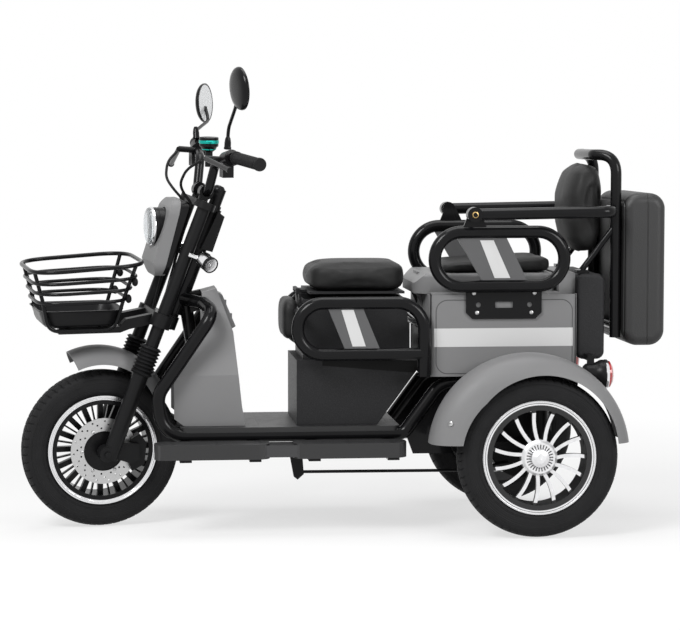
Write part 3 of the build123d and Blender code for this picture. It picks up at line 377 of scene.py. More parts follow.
PAINTS = {
    "enamel": gloss_enamel("black_enamel", (0.005, 0.005, 0.0055)),
    "frame_satin": moulded_plastic("satin_black", (0.007, 0.007, 0.0075), 0.36, 0.06),
    "grey": moulded_plastic("body_grey", BODY_GREY),
    "trunk_grey": trunk_grey("trunk_grey"),
    "stripe": moulded_plastic("stripe_grey", STRIPE_GREY, 0.36, 0.05),
    "charcoal": grained_plastic("charcoal_grain", CHARCOAL),
    "ribbed": ribbed_plastic("ribbed_floor"),
    "case": case_black("case_black"),
    "smooth_black": moulded_plastic("smooth_black", (0.007, 0.007, 0.0075), 0.3, 0.05),
    "leather": leatherette("seat_leatherette", (0.017, 0.017, 0.017)),
    "tyre": rubber("tyre_rubber", (0.011, 0.011, 0.0115)),
    "rubber": rubber("grip_rubber", (0.009, 0.009, 0.0095), 0.5),
    "black_alloy": moulded_plastic("black_cast_alloy", (0.006, 0.006, 0.0065), 0.26, 0.1),
    "faced_alloy": faced_alloy("faced_alloy"),
    "bright_alloy": ringed_alloy("machined_alloy"),
    "steel": bare_metal("brushed_steel", (0.55, 0.55, 0.55), 0.32),
    "chrome": bare_metal("chrome_plate", (0.85, 0.85, 0.86), 0.1),
    "brass": bare_metal("yellow_passivated", (0.62, 0.43, 0.18), 0.34),
    "teal": bare_metal("teal_anodised", (0.02, 0.42, 0.36), 0.3),
    "clear": clear_plastic("clear_lens"),
    "glass": mirror_glass("mirror_glass"),
    "red": tinted_lens("red_lens", (0.42, 0.008, 0.01)),
    "plate": moulded_plastic("plate_grey", (0.10, 0.10, 0.102), 0.3, 0.05),
    "pocket": pocket_charcoal("pocket_charcoal"),
}

NODE_PAINT = {
    "main_frame": "enamel", "floor_board": "ribbed", "foot_boards": "ribbed", "leg_shield": "grey",
    "shield_back_panel": "grey", "seat_box": "pocket", "battery_block": "charcoal", "nose_pad": "leather",
    "side_hoops": "enamel", "hoop_plates": "plate", "upper_hoops": "enamel", "armrest_left": "enamel",
    "armrest_right": "enamel", "trunk_body": "trunk_grey", "trunk_lid": "grey", "rear_cushion": "leather",
    "seat_pan": "charcoal", "front_cushion": "leather", "backrest_frame": "enamel",
    "backrest_cushion": "leather", "rear_case": "charcoal", "luggage_case": "case",
    "rear_fenders": "grey", "tail_lamps": "red", "rear_axle": "frame_satin", "rear_shocks": "frame_satin",
    "brake_linkage": "frame_satin", "tyre_rear_left": "tyre", "tyre_rear_right": "tyre",
    "rim_rear_left": "faced_alloy", "rim_rear_right": "faced_alloy", "tyre_front": "tyre",
    "rim_front": "black_alloy", "brake_disc": "steel", "fork": "frame_satin", "fork_gaiters": "rubber",
    "front_fender": "grey", "basket_wires": "enamel", "basket_tray": "charcoal",
    "headlamp_shell": "chrome", "headlamp_lens": "clear", "headlamp_plate": "grey",
    "headlamp_back": "smooth_black", "brake_cables": "rubber", "handlebar": "enamel",
    "grips": "rubber", "hand_controls": "smooth_black", "display": "smooth_black", "mirrors": "enamel",
    "turn_signals": "chrome", "brake_caliper": "frame_satin", "control_box": "smooth_black",
}
for name, key in NODE_PAINT.items():
    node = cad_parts[name]
    for place in range(len(node.material_slots)):
        node.material_slots[place].material = PAINTS[key].material



# ---------------------------------------------------------------- surfaces
def quads(rows, columns, wrap):
    """Faces of a grid of points, row by row, joined round where it wraps."""
    r = np.arange(rows if wrap[0] else rows - 1)[:, None]
    c = np.arange(columns if wrap[1] else columns - 1)[None, :]
    down, right = (r + 1) % rows, (c + 1) % columns
    corners = [r * columns + c, r * columns + right, down * columns + right, down * columns + c]
    return np.stack(corners, -1).reshape(-1, 4)


class Shape:
    """Grids of points gathered into one mesh, in metres from the front axle with the steering straight."""

    def __init__(self):
        self.points = []
        self.faces = []
        self.count = 0

    def grid(self, points, wrap=(False, True), capped=False):
        """Adds a grid; wrap joins its rows or columns round, and capped closes its first and last row."""
        rows, columns = points.shape[:2]
        self.points.append(points.reshape(-1, 3))
        self.faces += (quads(rows, columns, wrap) + self.count).tolist()
        if capped:
            ring = np.arange(columns) + self.count
            self.faces.append(ring.tolist())
            self.faces.append((ring + (rows - 1) * columns)[::-1].tolist())
        self.count += rows * columns
        return self

    def both_sides(self):
        """Adds the mirror image in X."""
        points = np.concatenate(self.points) * (-1, 1, 1)
        self.faces += [[i + self.count for i in face[::-1]] for face in self.faces]
        self.points.append(points)
        self.count *= 2
        return self

    def put(self, name, paint, body, *replaced, crease=35.0):
        """Makes the object on its body, in place of the nodes named; edges past the crease stay sharp."""
        points = np.concatenate(self.points)
        if body in (STEERING, FRONT_WHEEL):
            points = STEER_FOOT + (points - STEER_FOOT) @ TURN.T
        points = points - (0, ORIGIN_Y, 0)
        mesh = bpy.data.meshes.new(name)
        mesh.from_pydata(points.tolist(), [], self.faces)
        work = bmesh.new()
        work.from_mesh(mesh)
        bmesh.ops.remove_doubles(work, verts=work.verts, dist=1e-6)
        bmesh.ops.recalc_face_normals(work, faces=work.faces)
        work.to_mesh(mesh)
        work.free()
        mesh.shade_smooth()
        mesh.set_sharp_from_angle(angle=radians(crease))
        made = bpy.data.objects.new(name, mesh)
        scene.collection.objects.link(made)
        mesh.materials.append(PAINTS[paint].material)
        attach(made, body)
        if replaced:
            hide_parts(*replaced)
        return made


def unit(vectors):
    """Vectors scaled to length one."""
    return vectors / np.linalg.norm(vectors, axis=-1, keepdims=True)


def around(sides):
    """Cosine and sine of evenly spread angles."""
    angle = np.linspace(0, 2 * pi, sides, endpoint=False)
    return np.cos(angle), np.sin(angle)


def tube(path, radius, sides=12):
    """Circle carried square to a path: station + r (cos a N + sin a B), B square to the path's plane."""
    path = np.asarray(path, float)
    ahead = unit(np.gradient(path, axis=0))
    flat = np.linalg.svd(path - path.mean(0))[2][-1]
    side = unit(np.cross(ahead, flat))
    up = np.cross(side, ahead)
    c, s = around(sides)
    radius = np.broadcast_to(radius, len(path))[:, None, None]
    return path[:, None] + radius * (c[None, :, None] * side[:, None] + s[None, :, None] * up[:, None])


def spline(points, steps):
    """Smooth curve through the points: on each span the cubic of its four neighbours."""
    p = np.asarray(points, float)
    p = np.concatenate((2 * p[:1] - p[1:2], p, 2 * p[-1:] - p[-2:-1]))
    t = np.linspace(0, 1, steps, endpoint=False)[None, :, None]
    a, b, c, d = (p[n:len(p) - 3 + n, None] for n in range(4))
    square, cube = 2 * a - 5 * b + 4 * c - d, 3 * b - a - 3 * c + d
    curve = 0.5 * (2 * b + (c - a) * t + square * t ** 2 + cube * t ** 3)
    return np.concatenate((curve.reshape(-1, p.shape[1]), p[-2:-1]))


def bend(points, radius, steps=7):
    """Straight runs with each corner cut to a parabola that starts and ends radius away from it."""
    p = np.asarray(points, float)
    back, on = unit(p[:-2] - p[1:-1]), unit(p[2:] - p[1:-1])
    t = np.linspace(0, 1, steps)[None, :, None]
    corner = p[1:-1, None]
    radius = np.broadcast_to(radius, len(p) - 2)[:, None, None]
    start, end = corner + radius * back[:, None], corner + radius * on[:, None]
    arcs = (1 - t) ** 2 * start + 2 * t * (1 - t) * corner + t ** 2 * end
    return np.concatenate((p[:1], arcs.reshape(-1, 3), p[-1:]))


def turned(profile, centre, axis, sides=48):
    """Profile of (radius, distance) pairs turned about the axis through centre."""
    profile = np.asarray(profile, float)
    axis = unit(np.asarray(axis, float))
    first = unit(np.cross(axis, (0.3, 0.5, 0.81)))
    second = np.cross(axis, first)
    c, s = around(sides)
    ring = c[:, None] * first + s[:, None] * second
    return np.asarray(centre) + profile[:, 1, None, None] * axis + profile[:, 0, None, None] * ring[None]


def lathe(profile, centre, axis, sides=48, closed=False):
    """Shape with one turned surface; closed joins the profile's last point to its first."""
    return Shape().grid(turned(profile, centre, axis, sides), wrap=(closed, True))


def pillow(power, columns=64, rows=32):
    """Closed rounded block from -1 to 1: each axis is sign(w) |w|^(2/power) of a sphere's point."""
    across = np.linspace(0, 2 * pi, columns, endpoint=False)[None, :]
    up = np.linspace(-pi / 2, pi / 2, rows)[:, None]
    ball = [np.cos(up) * np.cos(across), np.cos(up) * np.sin(across), np.sin(up) + 0 * across]
    return np.stack([np.sign(w) * np.abs(w) ** (2 / p) for w, p in zip(ball, power)], -1)


def screws(places, axis, radius, height):
    """Domed socket screws: a short turned dome with its sunk socket at each place."""
    made = Shape()
    dome = np.array([(0, 0.4), (0.45, 0.4), (0.5, 1), (0.85, 0.8), (1, 0.3), (1, 0), (0, 0)])
    dome = dome * (radius, height)
    for place in places:
        made.grid(turned(dome, place, axis, 14))
    return made


# ---------------------------------------------------------------- wheels
def tread_depth(x, angle, blocks):
    """Depth cut at each point: two wavy grooves, a shallow middle one and slanted shoulder cuts."""
    wavy = np.abs(np.abs(x) - 0.012 - 0.0016 * np.sin(blocks * angle)) < 0.0016
    centre = np.abs(x - 0.0022 * np.sin(blocks * angle)) < 0.0009
    slant = (blocks * angle / (2 * pi) + 9.0 * np.abs(x) + (x > 0) * 0.5) % 1.0
    cuts = (slant < 0.13) & (np.abs(x) > 0.0135)
    return 0.003 * np.maximum.reduce([wavy, cuts]) + 0.0015 * (centre & ~wavy)


TREAD_BLOCKS = 60
TREAD_FROM = 0.1935
TYRE_HALF_SECTION = [
    (33.0, 130.0), (33.2, 143.4), (36.0, 150.0), (38.4, 158.0), (39.6, 168.0), (39.8, 178.0),
    (38.4, 186.0), (35.6, 192.0), (33.0, 195.6), (28.0, 198.8), (20.0, 202.0), (10.0, 203.9),
    (0.0, 204.4)]


def tyre(name, node, body, x, y):
    """Treaded tyre: its section carried round the wheel, each point pulled in by the tread's depth."""
    half = TYRE_HALF_SECTION
    section = spline(np.array(half + [(-a, b) for a, b in half[-2::-1]]), 5) / 1000
    angle = np.linspace(0, 2 * pi, 9 * TREAD_BLOCKS, endpoint=False)[None, :]
    across, radius = section[:, 0, None], section[:, 1, None]
    wear = tread_depth(across + 0 * angle, angle + 0 * across, TREAD_BLOCKS) * (radius > TREAD_FROM)
    ribs = 0.0005 * np.sin(radius * 1900.0) * (radius > 0.152) * (radius < 0.190)
    radius = radius - wear
    points = np.stack((x + (across + np.sign(across) * ribs) + 0 * angle, y + radius * np.cos(angle),
                       AXLE_Z + radius * np.sin(angle)), -1)
    Shape().grid(points, wrap=(True, True)).put(name, "tyre", body, node, crease=50.0)


tyre("front_tyre", "tyre_front", FRONT_WHEEL, 0.0, 0.0)
tyre("left_rear_tyre", "tyre_rear_left", "rear_wheel_left", REAR_X, WHEELBASE)
tyre("right_rear_tyre", "tyre_rear_right", "rear_wheel_right", -REAR_X, WHEELBASE)

FRONT_LIP = [(0.1310, 0.0), (0.1315, 0.0012), (0.1335, 0.0013), (0.1340, 0.0006), (0.1350, 0.0013),
             (0.1375, 0.0013), (0.1380, 0.0006), (0.1390, 0.0013), (0.1422, 0.0012), (0.1428, 0.0)]
REAR_LIP = [(0.1395, 0.0), (0.1398, 0.0008), (0.1425, 0.0008), (0.1430, 0.0)]
DISC_BOLTS = 6
DISC_BOLT_CIRCLE = 0.057

face = Shape()
for side in (1, -1):
    edge = turned(FRONT_LIP, (side * RIM_HALF, 0, AXLE_Z), (side, 0, 0), 128)
    face.grid(edge, wrap=(True, True))
face.put("front_rim_face", "bright_alloy", FRONT_WHEEL)
bolts = [(0.0503, DISC_BOLT_CIRCLE * cos(a), AXLE_Z + DISC_BOLT_CIRCLE * sin(a))
         for a in np.arange(DISC_BOLTS) * 2 * pi / DISC_BOLTS]
screws(bolts, (1, 0, 0), 0.0045, 0.004).put("disc_bolts", "steel", FRONT_WHEEL)
for side, body in ((1, "rear_wheel_left"), (-1, "rear_wheel_right")):
    outer = (side * (REAR_X + RIM_HALF), WHEELBASE, AXLE_Z)
    lathe(REAR_LIP, outer, (side, 0, 0), 128, closed=True).put(body + "_lip", "bright_alloy", body)


# ---------------------------------------------------------------- cushions
def padded(name, node, body, warp, power, inset, cap, pressure):
    """Cushion: a rounded block bent to its place by warp, then swollen by the cloth simulation."""
    made = Shape().grid(warp(pillow(power) * (1 - inset)), capped=True)
    made = made.put(name, "leather", body, node, crease=180.0)
    swell(made, cap, pressure)


def swell(made, cap, pressure):
    """Voxel remesh, cloth under pressure for twenty frames, each point held within cap of its start."""
    remesh = made.modifiers.new("even", "REMESH")
    remesh.mode = "VOXEL"
    remesh.voxel_size = 0.006
    apply(made)
    start = positions(made)
    cloth = made.modifiers.new("cloth", "CLOTH")
    cloth.settings.use_pressure = True
    cloth.settings.uniform_pressure_force = pressure
    cloth.settings.effector_weights.gravity = 0
    cloth.settings.quality = 5
    for step in range(1, 21):
        scene.frame_set(step)
    apply(made)
    move = (positions(made) - start).reshape(-1, 3)
    far = np.linalg.norm(move, axis=1, keepdims=True)
    move *= np.minimum(1.0, cap / np.maximum(far, 1e-9))
    made.data.vertices.foreach_set("co", start + move.ravel())
    made.data.shade_smooth()
    scene.frame_set(1)


def positions(made):
    """The mesh's points, one coordinate after another."""
    flat = np.empty(3 * len(made.data.vertices))
    made.data.vertices.foreach_get("co", flat)
    return flat


def apply(made):
    """Turns the evaluated mesh into the object's own."""
    seen = made.evaluated_get(bpy.context.evaluated_depsgraph_get())
    fresh = bpy.data.meshes.new_from_object(seen)
    made.modifiers.clear()
    made.data = fresh


def between(low, high, share):
    """Value at share, -1 to 1, of the way from low to high."""
    return low + (high - low) * (share + 1) / 2


def seat_warp(p):
    """Front cushion: crowned, lower at its front edge."""
    u, v, w = p[..., 0], p[..., 1], p[..., 2]
    top = 0.6865 - 0.010 * np.clip(-v - 0.2, 0, 1) ** 2 - 0.005 * u ** 2
    return np.stack((0.1345 * u, between(0.535, 0.786, v), between(0.6128, top, w)), -1)


def rear_seat_warp(p):
    """Rear cushion: rises a little from its front edge to the back."""
    u, v, w = p[..., 0], p[..., 1], p[..., 2]
    top = 0.690 + 0.008 * v
    return np.stack((0.143 * u, between(0.870, 1.166, v), between(0.6588, top, w)), -1)


BACK_FRONT = ((0.703, 0.735, 0.800, 0.860, 0.915, 0.940), (1.246, 1.217, 1.203, 1.205, 1.222, 1.250))
BACK_REAR = ((0.703, 0.940), (1.293, 1.299))


def back_warp(p):
    """Backrest: its front bulges low and leans back at the top."""
    u, v, w = p[..., 0], p[..., 1], p[..., 2]
    z = between(0.704, 0.939, w)
    front = np.interp(z, *BACK_FRONT) + 0.012 * np.abs(u) ** 3
    return np.stack((0.125 * u, between(front, np.interp(z, *BACK_REAR), v), z), -1)


def nose_warp(p):
    """Pad in front of the seat box."""
    u, v, w = p[..., 0], p[..., 1], p[..., 2]
    return np.stack((0.094 * u, between(0.4695, 0.5125, v), between(0.4845, 0.5915, w)), -1)


# name, node, body, warp, roundness, inset of the start, cap of the swelling, pressure
for cushion in (
        ("front_seat_cushion", "front_cushion", "front_seat", seat_warp, (5.5, 5.5, 6.0), 0.012,
         0.003, 2.0),
        ("rear_seat_cushion", "rear_cushion", "trunk_cover", rear_seat_warp, (9.0, 9.0, 4.0), 0.015,
         0.003, 3.0),
        ("back_cushion", "backrest_cushion", CHASSIS, back_warp, (5.0, 4.0, 5.0), 0.03, 0.007, 4.0),
        ("seat_nose", "nose_pad", CHASSIS, nose_warp, (6.0, 3.0, 4.0), 0.02, 0.003, 2.0)):
    padded(*cushion)


# ---------------------------------------------------------------- basket
def ring_path(t):
    """Corner points of a basket ring, t from 0 at the tray to 1 at the rim."""
    y0, y1, half = -0.191 + 0.018 * (1 - t), 0.057 + 0.038 * t, 0.116 + 0.019 * t
    low = 0.598 + 0.081 * t
    high = low + (0.005 + 0.012 * t)
    corners = [(0, y0, low), (half, y0, low), (half, y1, high), (-half, y1, high), (-half, y0, low),
               (0, y0, low)]
    return bend(corners, 0.078 + 0.006 * t, 13)


wires = Shape()
for t, radius in ((1.0, 0.0055), (0.62, 0.0045), (0.3, 0.0045), (0.0, 0.0045)):
    wires.grid(tube(ring_path(t), radius))
HOOP_FOOT = 0.5246
hoop = bend([(0.084, -0.184, 0.681), (0.080, -0.161, 0.598), (0.080, -0.148, HOOP_FOOT),
             (0.080, 0.022, HOOP_FOOT), (0.083, 0.044, 0.602), (0.102, 0.074, 0.695)],
            (0.01, 0.03, 0.03, 0.01), 9)
cage = Shape().grid(tube(hoop, 0.005), capped=True).both_sides()
for y in (-0.096, -0.014):
    rod = [(x, y, HOOP_FOOT) for x in (-0.080, 0, 0.080)]
    cage.grid(tube(rod, 0.0035, 10), capped=True)
wires.put("basket_rings", "enamel", STEERING, "basket_wires")
cage.put("basket_hoops", "enamel", STEERING)

TRAY_MIDDLE = 0.062


def tray_ring(half_x, half_y, corner, z):
    """Loop round a rounded rectangle with true corner arcs, at one height."""
    across, along = half_x - corner, half_y - corner
    turns = np.linspace(0, pi / 2, 9)
    loop = []
    for k, (sx, sy) in enumerate(((1, 1), (-1, 1), (-1, -1), (1, -1))):
        angle = turns + k * pi / 2
        x, y = across * sx + corner * np.cos(angle), along * sy + corner * np.sin(angle)
        loop.append(np.stack((x, y - TRAY_MIDDLE, np.full(len(x), z)), -1))
    return np.concatenate(loop)


# half width, half length, corner radius and height: up the outside, over the rim and down the inside
TRAY = [(0.060, 0.074, 0.026, 0.5300), (0.074, 0.088, 0.030, 0.5325), (0.080, 0.095, 0.032, 0.5400),
        (0.088, 0.106, 0.036, 0.5730), (0.0925, 0.1105, 0.038, 0.5755), (0.0925, 0.1105, 0.038, 0.5770),
        (0.0880, 0.1060, 0.036, 0.5770), (0.0855, 0.1035, 0.035, 0.5740), (0.0770, 0.0920, 0.030, 0.5400),
        (0.0700, 0.0840, 0.028, 0.5345), (0.0580, 0.0720, 0.024, 0.5335)]
BUFFER = [(0, -0.007), (0.006, -0.0065), (0.0105, -0.003), (0.0115, 0.001), (0.010, 0.005),
          (0.006, 0.008), (0, 0.009)]
Shape().grid(np.stack([tray_ring(*row) for row in TRAY]), capped=True).put(
    "basket_pan", "smooth_black", STEERING, "basket_tray", crease=60.0)
buffers = Shape()
for place in ((0.0930, 0.0705, 0.648), (0.0836, 0.0560, 0.604)):
    buffers.grid(turned(BUFFER, place, (0.2, 1, 0.1), 20))
buffers.both_sides().put("basket_buffers", "rubber", STEERING)


# ---------------------------------------------------------------- head: lamp, dial, mirrors, signals, grips
def put_turned(rows, body, centre, axis, sides, mirrored=False):
    """One turned piece for each name, paint, nodes it stands for, and profile of (radius, distance)."""
    for name, paint, replaced, profile in rows:
        made = lathe(profile, centre, axis, sides)
        if mirrored:
            made.both_sides()
        made.put(name, paint, body, *replaced)


LAMP_CENTRE = (0.0, 0.0, 0.779)
LAMP_RING = [(0.0455, 0.1366), (0.0495, 0.1366), (0.0500, 0.1345), (0.0495, 0.131), (0.0475, 0.1295),
             (0.0455, 0.1305)]
put_turned((
    ("headlamp_body", "smooth_black", ("headlamp_shell",), [
        (0.0, 0.186), (0.034, 0.185), (0.043, 0.180), (0.046, 0.172), (0.0465, 0.166), (0.0455, 0.165),
        (0.0455, 0.162), (0.0475, 0.161), (0.048, 0.150), (0.047, 0.149), (0.047, 0.147),
        (0.048, 0.146), (0.048, 0.138), (0.044, 0.137), (0.0, 0.137)]),
), STEERING, LAMP_CENTRE, (0, 1, 0), 72)
lathe(LAMP_RING, LAMP_CENTRE, (0, 1, 0), 72, closed=True).put(
    "headlamp_ring", "chrome", STEERING, "headlamp_lens")
put_turned((
    ("headlamp_reflector", "chrome", (), [
        (0.0, 0.1360), (0.012, 0.1355), (0.026, 0.1345), (0.040, 0.1325), (0.0452, 0.1310)]),
    ("headlamp_glass", "clear", (), [
        (0.0, 0.1214), (0.030, 0.1216), (0.041, 0.1225), (0.0465, 0.1255), (0.0478, 0.1300),
        (0.0440, 0.1306), (0.0, 0.1290)]),
), STEERING, LAMP_CENTRE, (0, 1, 0), 72)

put_turned((
    ("dial_body", "smooth_black", ("display",), [
        (0, 0.930), (0.010, 0.930), (0.010, 0.968), (0.014, 0.971), (0.0175, 0.974), (0.0205, 0.980),
        (0.0245, 0.983), (0.0250, 0.990), (0, 0.990)]),
    ("dial_ring", "teal", (), [
        (0, 0.990), (0.0252, 0.990), (0.0260, 0.991), (0.0260, 0.9975), (0.0250, 0.9985), (0, 0.9985)]),
    ("dial_waist", "teal", (), [
        (0, 0.9735), (0.0180, 0.9735), (0.0186, 0.975), (0.0186, 0.977), (0, 0.977)]),
    ("dial_cap", "smooth_black", (), [
        (0, 0.9985), (0.0246, 0.9985), (0.0250, 1.001), (0.0250, 1.0045), (0.0235, 1.006), (0, 1.006)]),
), STEERING, (0.0, 0.285, 0.0), (0, 0, 1), 64)

MIRROR_SHELL = [(0.0, -0.0090), (0.020, -0.0086), (0.036, -0.0070), (0.046, -0.0040), (0.0515, 0.0005),
                (0.0535, 0.0050), (0.0532, 0.0082), (0.0505, 0.0086), (0.0500, 0.0070), (0.0, 0.0070)]
MIRROR_FACE = [(0, 0.0072), (0.0495, 0.0072), (0.0497, 0.0078), (0.0, 0.0080)]
MIRROR_BOOT = [(0, 0.0), (0.0095, 0.0), (0.0095, 0.004), (0.0085, 0.006), (0.0085, 0.016),
               (0.0070, 0.026), (0.0045, 0.032), (0, 0.032)]


def mirror(name, side, centre, toe, stem):
    """Round mirror on its bent stem: turned shell, silvered face and a boot at the foot."""
    centre = mm(*centre)
    aim = unit(np.array((-side * toe, 1.0, 0.08)))
    path = bend([mm(*p) for p in stem], 0.02, 9)
    made = lathe(MIRROR_SHELL, centre, aim, 72)
    made.grid(tube(path, 0.0045, 14), capped=True)
    made.grid(turned(MIRROR_BOOT, path[0], path[1] - path[0], 24))
    lathe(MIRROR_FACE, centre, aim, 72).put(name + "_glass", "glass", STEERING)
    return made


left = mirror("left_mirror", 1, (304, 282, 1148), 0.14,
              [(166, 292, 989), (172, 292, 1040), (264, 288, 1104), (296, 284, 1140)])
right = mirror("right_mirror", -1, (-332, 350, 1072), 0.70,
               [(-166, 292, 989), (-172, 292, 1010), (-292, 356, 1028), (-322, 354, 1062)])
left.put("left_mirror", "enamel", STEERING, "mirrors")
right.put("right_mirror", "enamel", STEERING)

SIGNAL_START, SIGNAL_END = mm(106, 241, 707), mm(150, 256, 692)
SIGNAL_AIM = unit(SIGNAL_END - SIGNAL_START)
SIGNAL_BODY = [(0, 0), (0.010, 0.0005), (0.016, 0.003), (0.0200, 0.009), (0.0208, 0.016),
               (0.0208, 0.040), (0, 0.041)]
signal = lathe(SIGNAL_BODY, SIGNAL_START, SIGNAL_AIM)
signal.grid(tube([mm(105, 208.6, 716), mm(114, 236, 706)], 0.006), capped=True)
signal.both_sides().put("signal_bodies", "chrome", STEERING, "turn_signals")
put_turned((
    ("signal_rims", "smooth_black", (), [
        (0.0, 0.0405), (0.0210, 0.0405), (0.0212, 0.0430), (0.0210, 0.0480), (0.0190, 0.0485),
        (0.0185, 0.0450), (0.0, 0.0445)]),
    ("signal_lenses", "bright_alloy", (), [
        (0.0, 0.0470), (0.006, 0.0472), (0.0065, 0.0462), (0.0125, 0.0465), (0.013, 0.0455),
        (0.0183, 0.0462), (0.0186, 0.0448), (0.0, 0.0446)]),
), STEERING, SIGNAL_START, SIGNAL_AIM, 48, mirrored=True)
put_turned((
    ("signal_bulbs", "chrome", (), [(0.0, 0.0484), (0.0022, 0.0482), (0.003, 0.047), (0.0, 0.0468)]),
), STEERING, SIGNAL_START, SIGNAL_AIM, 24, mirrored=True)

GRIP_RIBS = 22
GRIP_STATIONS = 10 * GRIP_RIBS


def on_grip(x):
    """Point of the handlebar's outer run at this X."""
    knee, tip = mm(188, 302, 970), mm(330, 331, 964)
    return knee + (tip - knee) * (x - knee[0]) / (tip[0] - knee[0])


grip_line = np.array([on_grip(x) for x in np.linspace(0.202, 0.336, GRIP_STATIONS)])
along = np.linspace(0, 1, GRIP_STATIONS)
ribs = 0.0007 * (np.sin(along * 2 * pi * GRIP_RIBS) > 0)
collars = 0.0014 * ((along < 0.05) | (along > 0.93))
Shape().grid(tube(grip_line, 0.0148 + ribs + collars, 24), capped=True).both_sides().put(
    "ribbed_grips", "rubber", STEERING, "grips", crease=25.0)


# ---------------------------------------------------------------- stripes, backrest tube, lamps, bolts
def slab(outline, x0, x1):
    """Upright plate between two X planes with a (y, z) outline, all in millimetres."""
    outline = mm(*np.ravel(outline)).reshape(-1, 2)
    rows = [np.column_stack((np.full(len(outline), x / 1000), outline)) for x in (x0, x1)]
    return np.stack(rows)


stripes = Shape()
for outline in ([(609.8, 571), (641, 571), (672, 478), (638.3, 478)],
                [(963, 745), (997.9, 745), (1041.1, 649), (1000.9, 649)]):
    stripes.grid(slab(outline, 206.6, 207.5), capped=True)
stripes.both_sides().put("plate_stripes", "stripe", CHASSIS)

HOOP_X, HOOP_HIGH, HOOP_LOW, HOOP_BACK, HOOP_FORE = 0.140, 0.960, 0.490, 1.327, 1.277
loop = bend([(-HOOP_X, HOOP_BACK, HOOP_LOW), (-HOOP_X, HOOP_BACK, HOOP_HIGH),
             (-0.100, HOOP_FORE, HOOP_HIGH), (0.100, HOOP_FORE, HOOP_HIGH),
             (HOOP_X, HOOP_BACK, HOOP_HIGH), (HOOP_X, HOOP_BACK, HOOP_LOW)],
            (0.050, 0.014, 0.014, 0.050), 11)
rest = Shape().grid(tube(loop, 0.014, 20), capped=True)
rest.grid(tube([(x, HOOP_BACK, 0.520) for x in (-HOOP_X, 0, HOOP_X)], 0.011, 14), capped=True)
for side in (1, -1):
    stay = [(side * HOOP_X, y, z) for y, z in ((HOOP_BACK, 0.780), (1.283, 0.722), (1.239, 0.6645))]
    rest.grid(tube(stay, 0.008, 14), capped=True)
    pad = [(1223, 656.3), (1255, 656.3), (1255, 665.0), (1223, 665.0)]
    rest.grid(slab(pad, side * 124, side * 156), capped=True)
rest.put("backrest_hoop", "enamel", CHASSIS, "backrest_frame")

put_turned((
    ("tail_lamp_bodies", "smooth_black", ("tail_lamps",), [
        (0, 1.229), (0.022, 1.230), (0.0275, 1.236), (0.029, 1.256), (0.033, 1.266), (0.0370, 1.273),
        (0.0372, 1.284), (0, 1.285)]),
    ("tail_lamp_bezels", "chrome", (), [
        (0.0372, 1.2835), (0.0380, 1.2845), (0.0380, 1.289), (0.0365, 1.291), (0.034, 1.2905),
        (0.034, 1.284), (0.0372, 1.2835)]),
    ("tail_lamp_lenses", "red", (), [
        (0, 1.3055), (0.014, 1.3050), (0.026, 1.3020), (0.0335, 1.2965), (0.0352, 1.290), (0, 1.289)]),
), CHASSIS, (0.216, 0.0, 0.402), (0, 1, 0), 64, mirrored=True)
bracket = Shape()
bracket.grid(slab([(1240, 402), (1256, 402), (1256, 452), (1240, 452)], 208, 224), capped=True)
bracket.grid(slab([(1240, 437), (1256, 437), (1256, 452), (1240, 452)], 170.4, 208), capped=True)
bracket.both_sides().put("tail_lamp_brackets", "smooth_black", CHASSIS)

bolts = [mm(193.4, y, z) for y, z in ((950, 610), (1106, 610), (958, 560), (1098, 560))]
for name, paint, places, axis, radius, height in (
        ("bracket_bolts", "steel", bolts, (1, 0, 0), 0.0055, 0.004),
        ("fender_bolts", "steel", [mm(344, 871, 295)], (0.85, -0.5, 0.15), 0.007, 0.006),
        ("armrest_bolts", "brass", [mm(250, 944, 811)], (1, 0, 0), 0.009, 0.005)):
    screws(places, axis, radius, height).both_sides().put(name, paint, CHASSIS)
KNOB = [(0.0, 0.0), (0.010, 0.001), (0.0150, 0.006), (0.0165, 0.013), (0.0150, 0.020), (0.010, 0.025),
        (0.0, 0.0265)]
lathe(KNOB, mm(0, 307, 856), (0, 0.36, 0.93), 36).put("ignition_knob", "smooth_black", STEERING)

# ---------------------------------------------------------------- floor, light and camera
SEEN_WHITE = ("Is Camera Ray", "Is Glossy Ray", "Is Transmission Ray")
WHITE = (1, 1, 1, 1)
AMBIENT = 0.22               # strength of the world as light; the rays named above see 1


def studio_floor():
    """Pale matte floor that keeps the shadows near the vehicle and turns plain white far from it."""
    paint = Paint("floor_white", roughness=0.9)
    paint.set(Base_Color=paint.mix(paint.noise(3.0), (0.80, 0.80, 0.80), (0.82, 0.82, 0.82)))
    x, y, _ = paint.axes()
    far = ((x ** 2 + y ** 2) ** 0.5).ramp(1.1, 2.6)
    first, *others = (paint.node("ShaderNodeLightPath", out=ray) for ray in SEEN_WHITE)
    for ray in others:
        first = first.most(ray)
    white = paint.node("ShaderNodeEmission", {}, {"Color": WHITE, "Strength": 1.0})
    share = first * (far * 0.34 + 0.66)
    both = paint.node("ShaderNodeMixShader", {}, {0: share, 1: paint.shader.outputs[0], 2: white})
    paint.tree.links.new(both.socket, paint.tree.nodes["Material Output"].inputs["Surface"])
    return paint


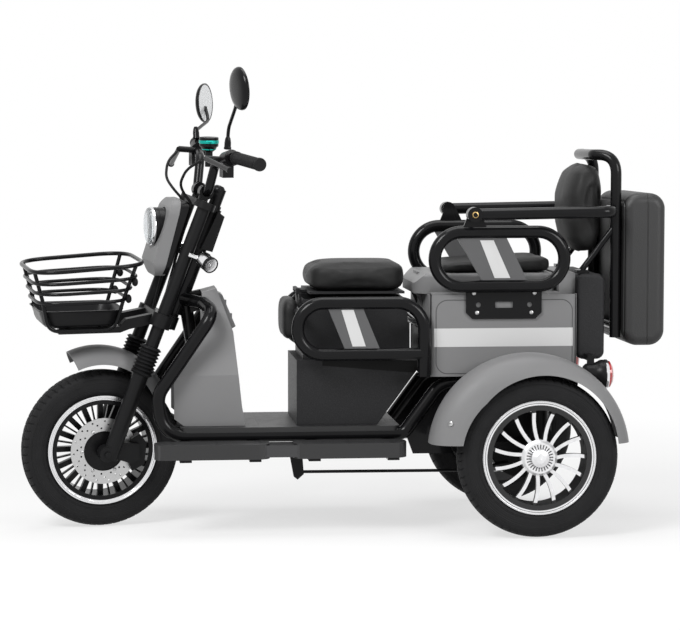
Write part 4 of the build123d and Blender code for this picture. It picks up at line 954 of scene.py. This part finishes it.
FLOOR_HALF = 60
plane = bpy.data.meshes.new("floor")
plane.from_pydata([(x * FLOOR_HALF, y * FLOOR_HALF, 0) for x, y in ((-1, -1), (1, -1), (1, 1), (-1, 1))],
                  [], [(0, 1, 2, 3)])
ground = bpy.data.objects.new("floor", plane)
scene.collection.objects.link(ground)
plane.materials.append(studio_floor().material)

world = bpy.data.worlds.new("studio")
scene.world = world
world.use_nodes = True
tree = world.node_tree
sky = tree.nodes["Background"]
sky.inputs["Color"].default_value = WHITE
light_path = tree.nodes.new("ShaderNodeLightPath")
seen = light_path.outputs[SEEN_WHITE[0]]
for ray in SEEN_WHITE[1:]:
    larger = tree.nodes.new("ShaderNodeMath")
    larger.operation = "MAXIMUM"
    tree.links.new(seen, larger.inputs[0])
    tree.links.new(light_path.outputs[ray], larger.inputs[1])
    seen = larger.outputs[0]
strength = tree.nodes.new("ShaderNodeMapRange")
strength.inputs["To Min"].default_value = AMBIENT
strength.inputs["To Max"].default_value = 1.0
tree.links.new(seen, strength.inputs["Value"])
tree.links.new(strength.outputs["Result"], sky.inputs["Strength"])

LAMP_AIM = np.array((0, 0, 0.5))


def lamp_panel(name, place, size, power):
    """Soft rectangular lamp at a place, turned to the vehicle's middle."""
    data = bpy.data.lights.new(name, "AREA")
    data.shape = "RECTANGLE"
    data.size, data.size_y = size
    data.energy = power
    made = bpy.data.objects.new(name, data)
    scene.collection.objects.link(made)
    made.location = place
    x, y, z = np.array(place) - LAMP_AIM
    made.rotation_euler = (atan2(hypot(x, y), z), 0, atan2(x, -y))


lamp_panel("key", (2.6, -2.2, 3.4), (1.6, 1.6), 150)
lamp_panel("fill", (3.2, 2.8, 2.0), (1.8, 1.4), 80)
lamp_panel("top", (0.0, 0.0, 4.2), (2.6, 2.6), 90)

CAMERA_TILT = 4.44           # degrees below level
CAMERA_TURN = 84.17          # degrees from the vehicle's own direction
camera = bpy.data.objects.new("camera", bpy.data.cameras.new("camera"))
scene.collection.objects.link(camera)
scene.camera = camera
camera.data.lens = 126.2
camera.data.sensor_width = 36.0
camera.location = (6.175, -0.003 - ORIGIN_Y, 1.024)
camera.rotation_euler = (radians(90 - CAMERA_TILT), 0, radians(CAMERA_TURN))
scene.view_settings.view_transform = "Standard"
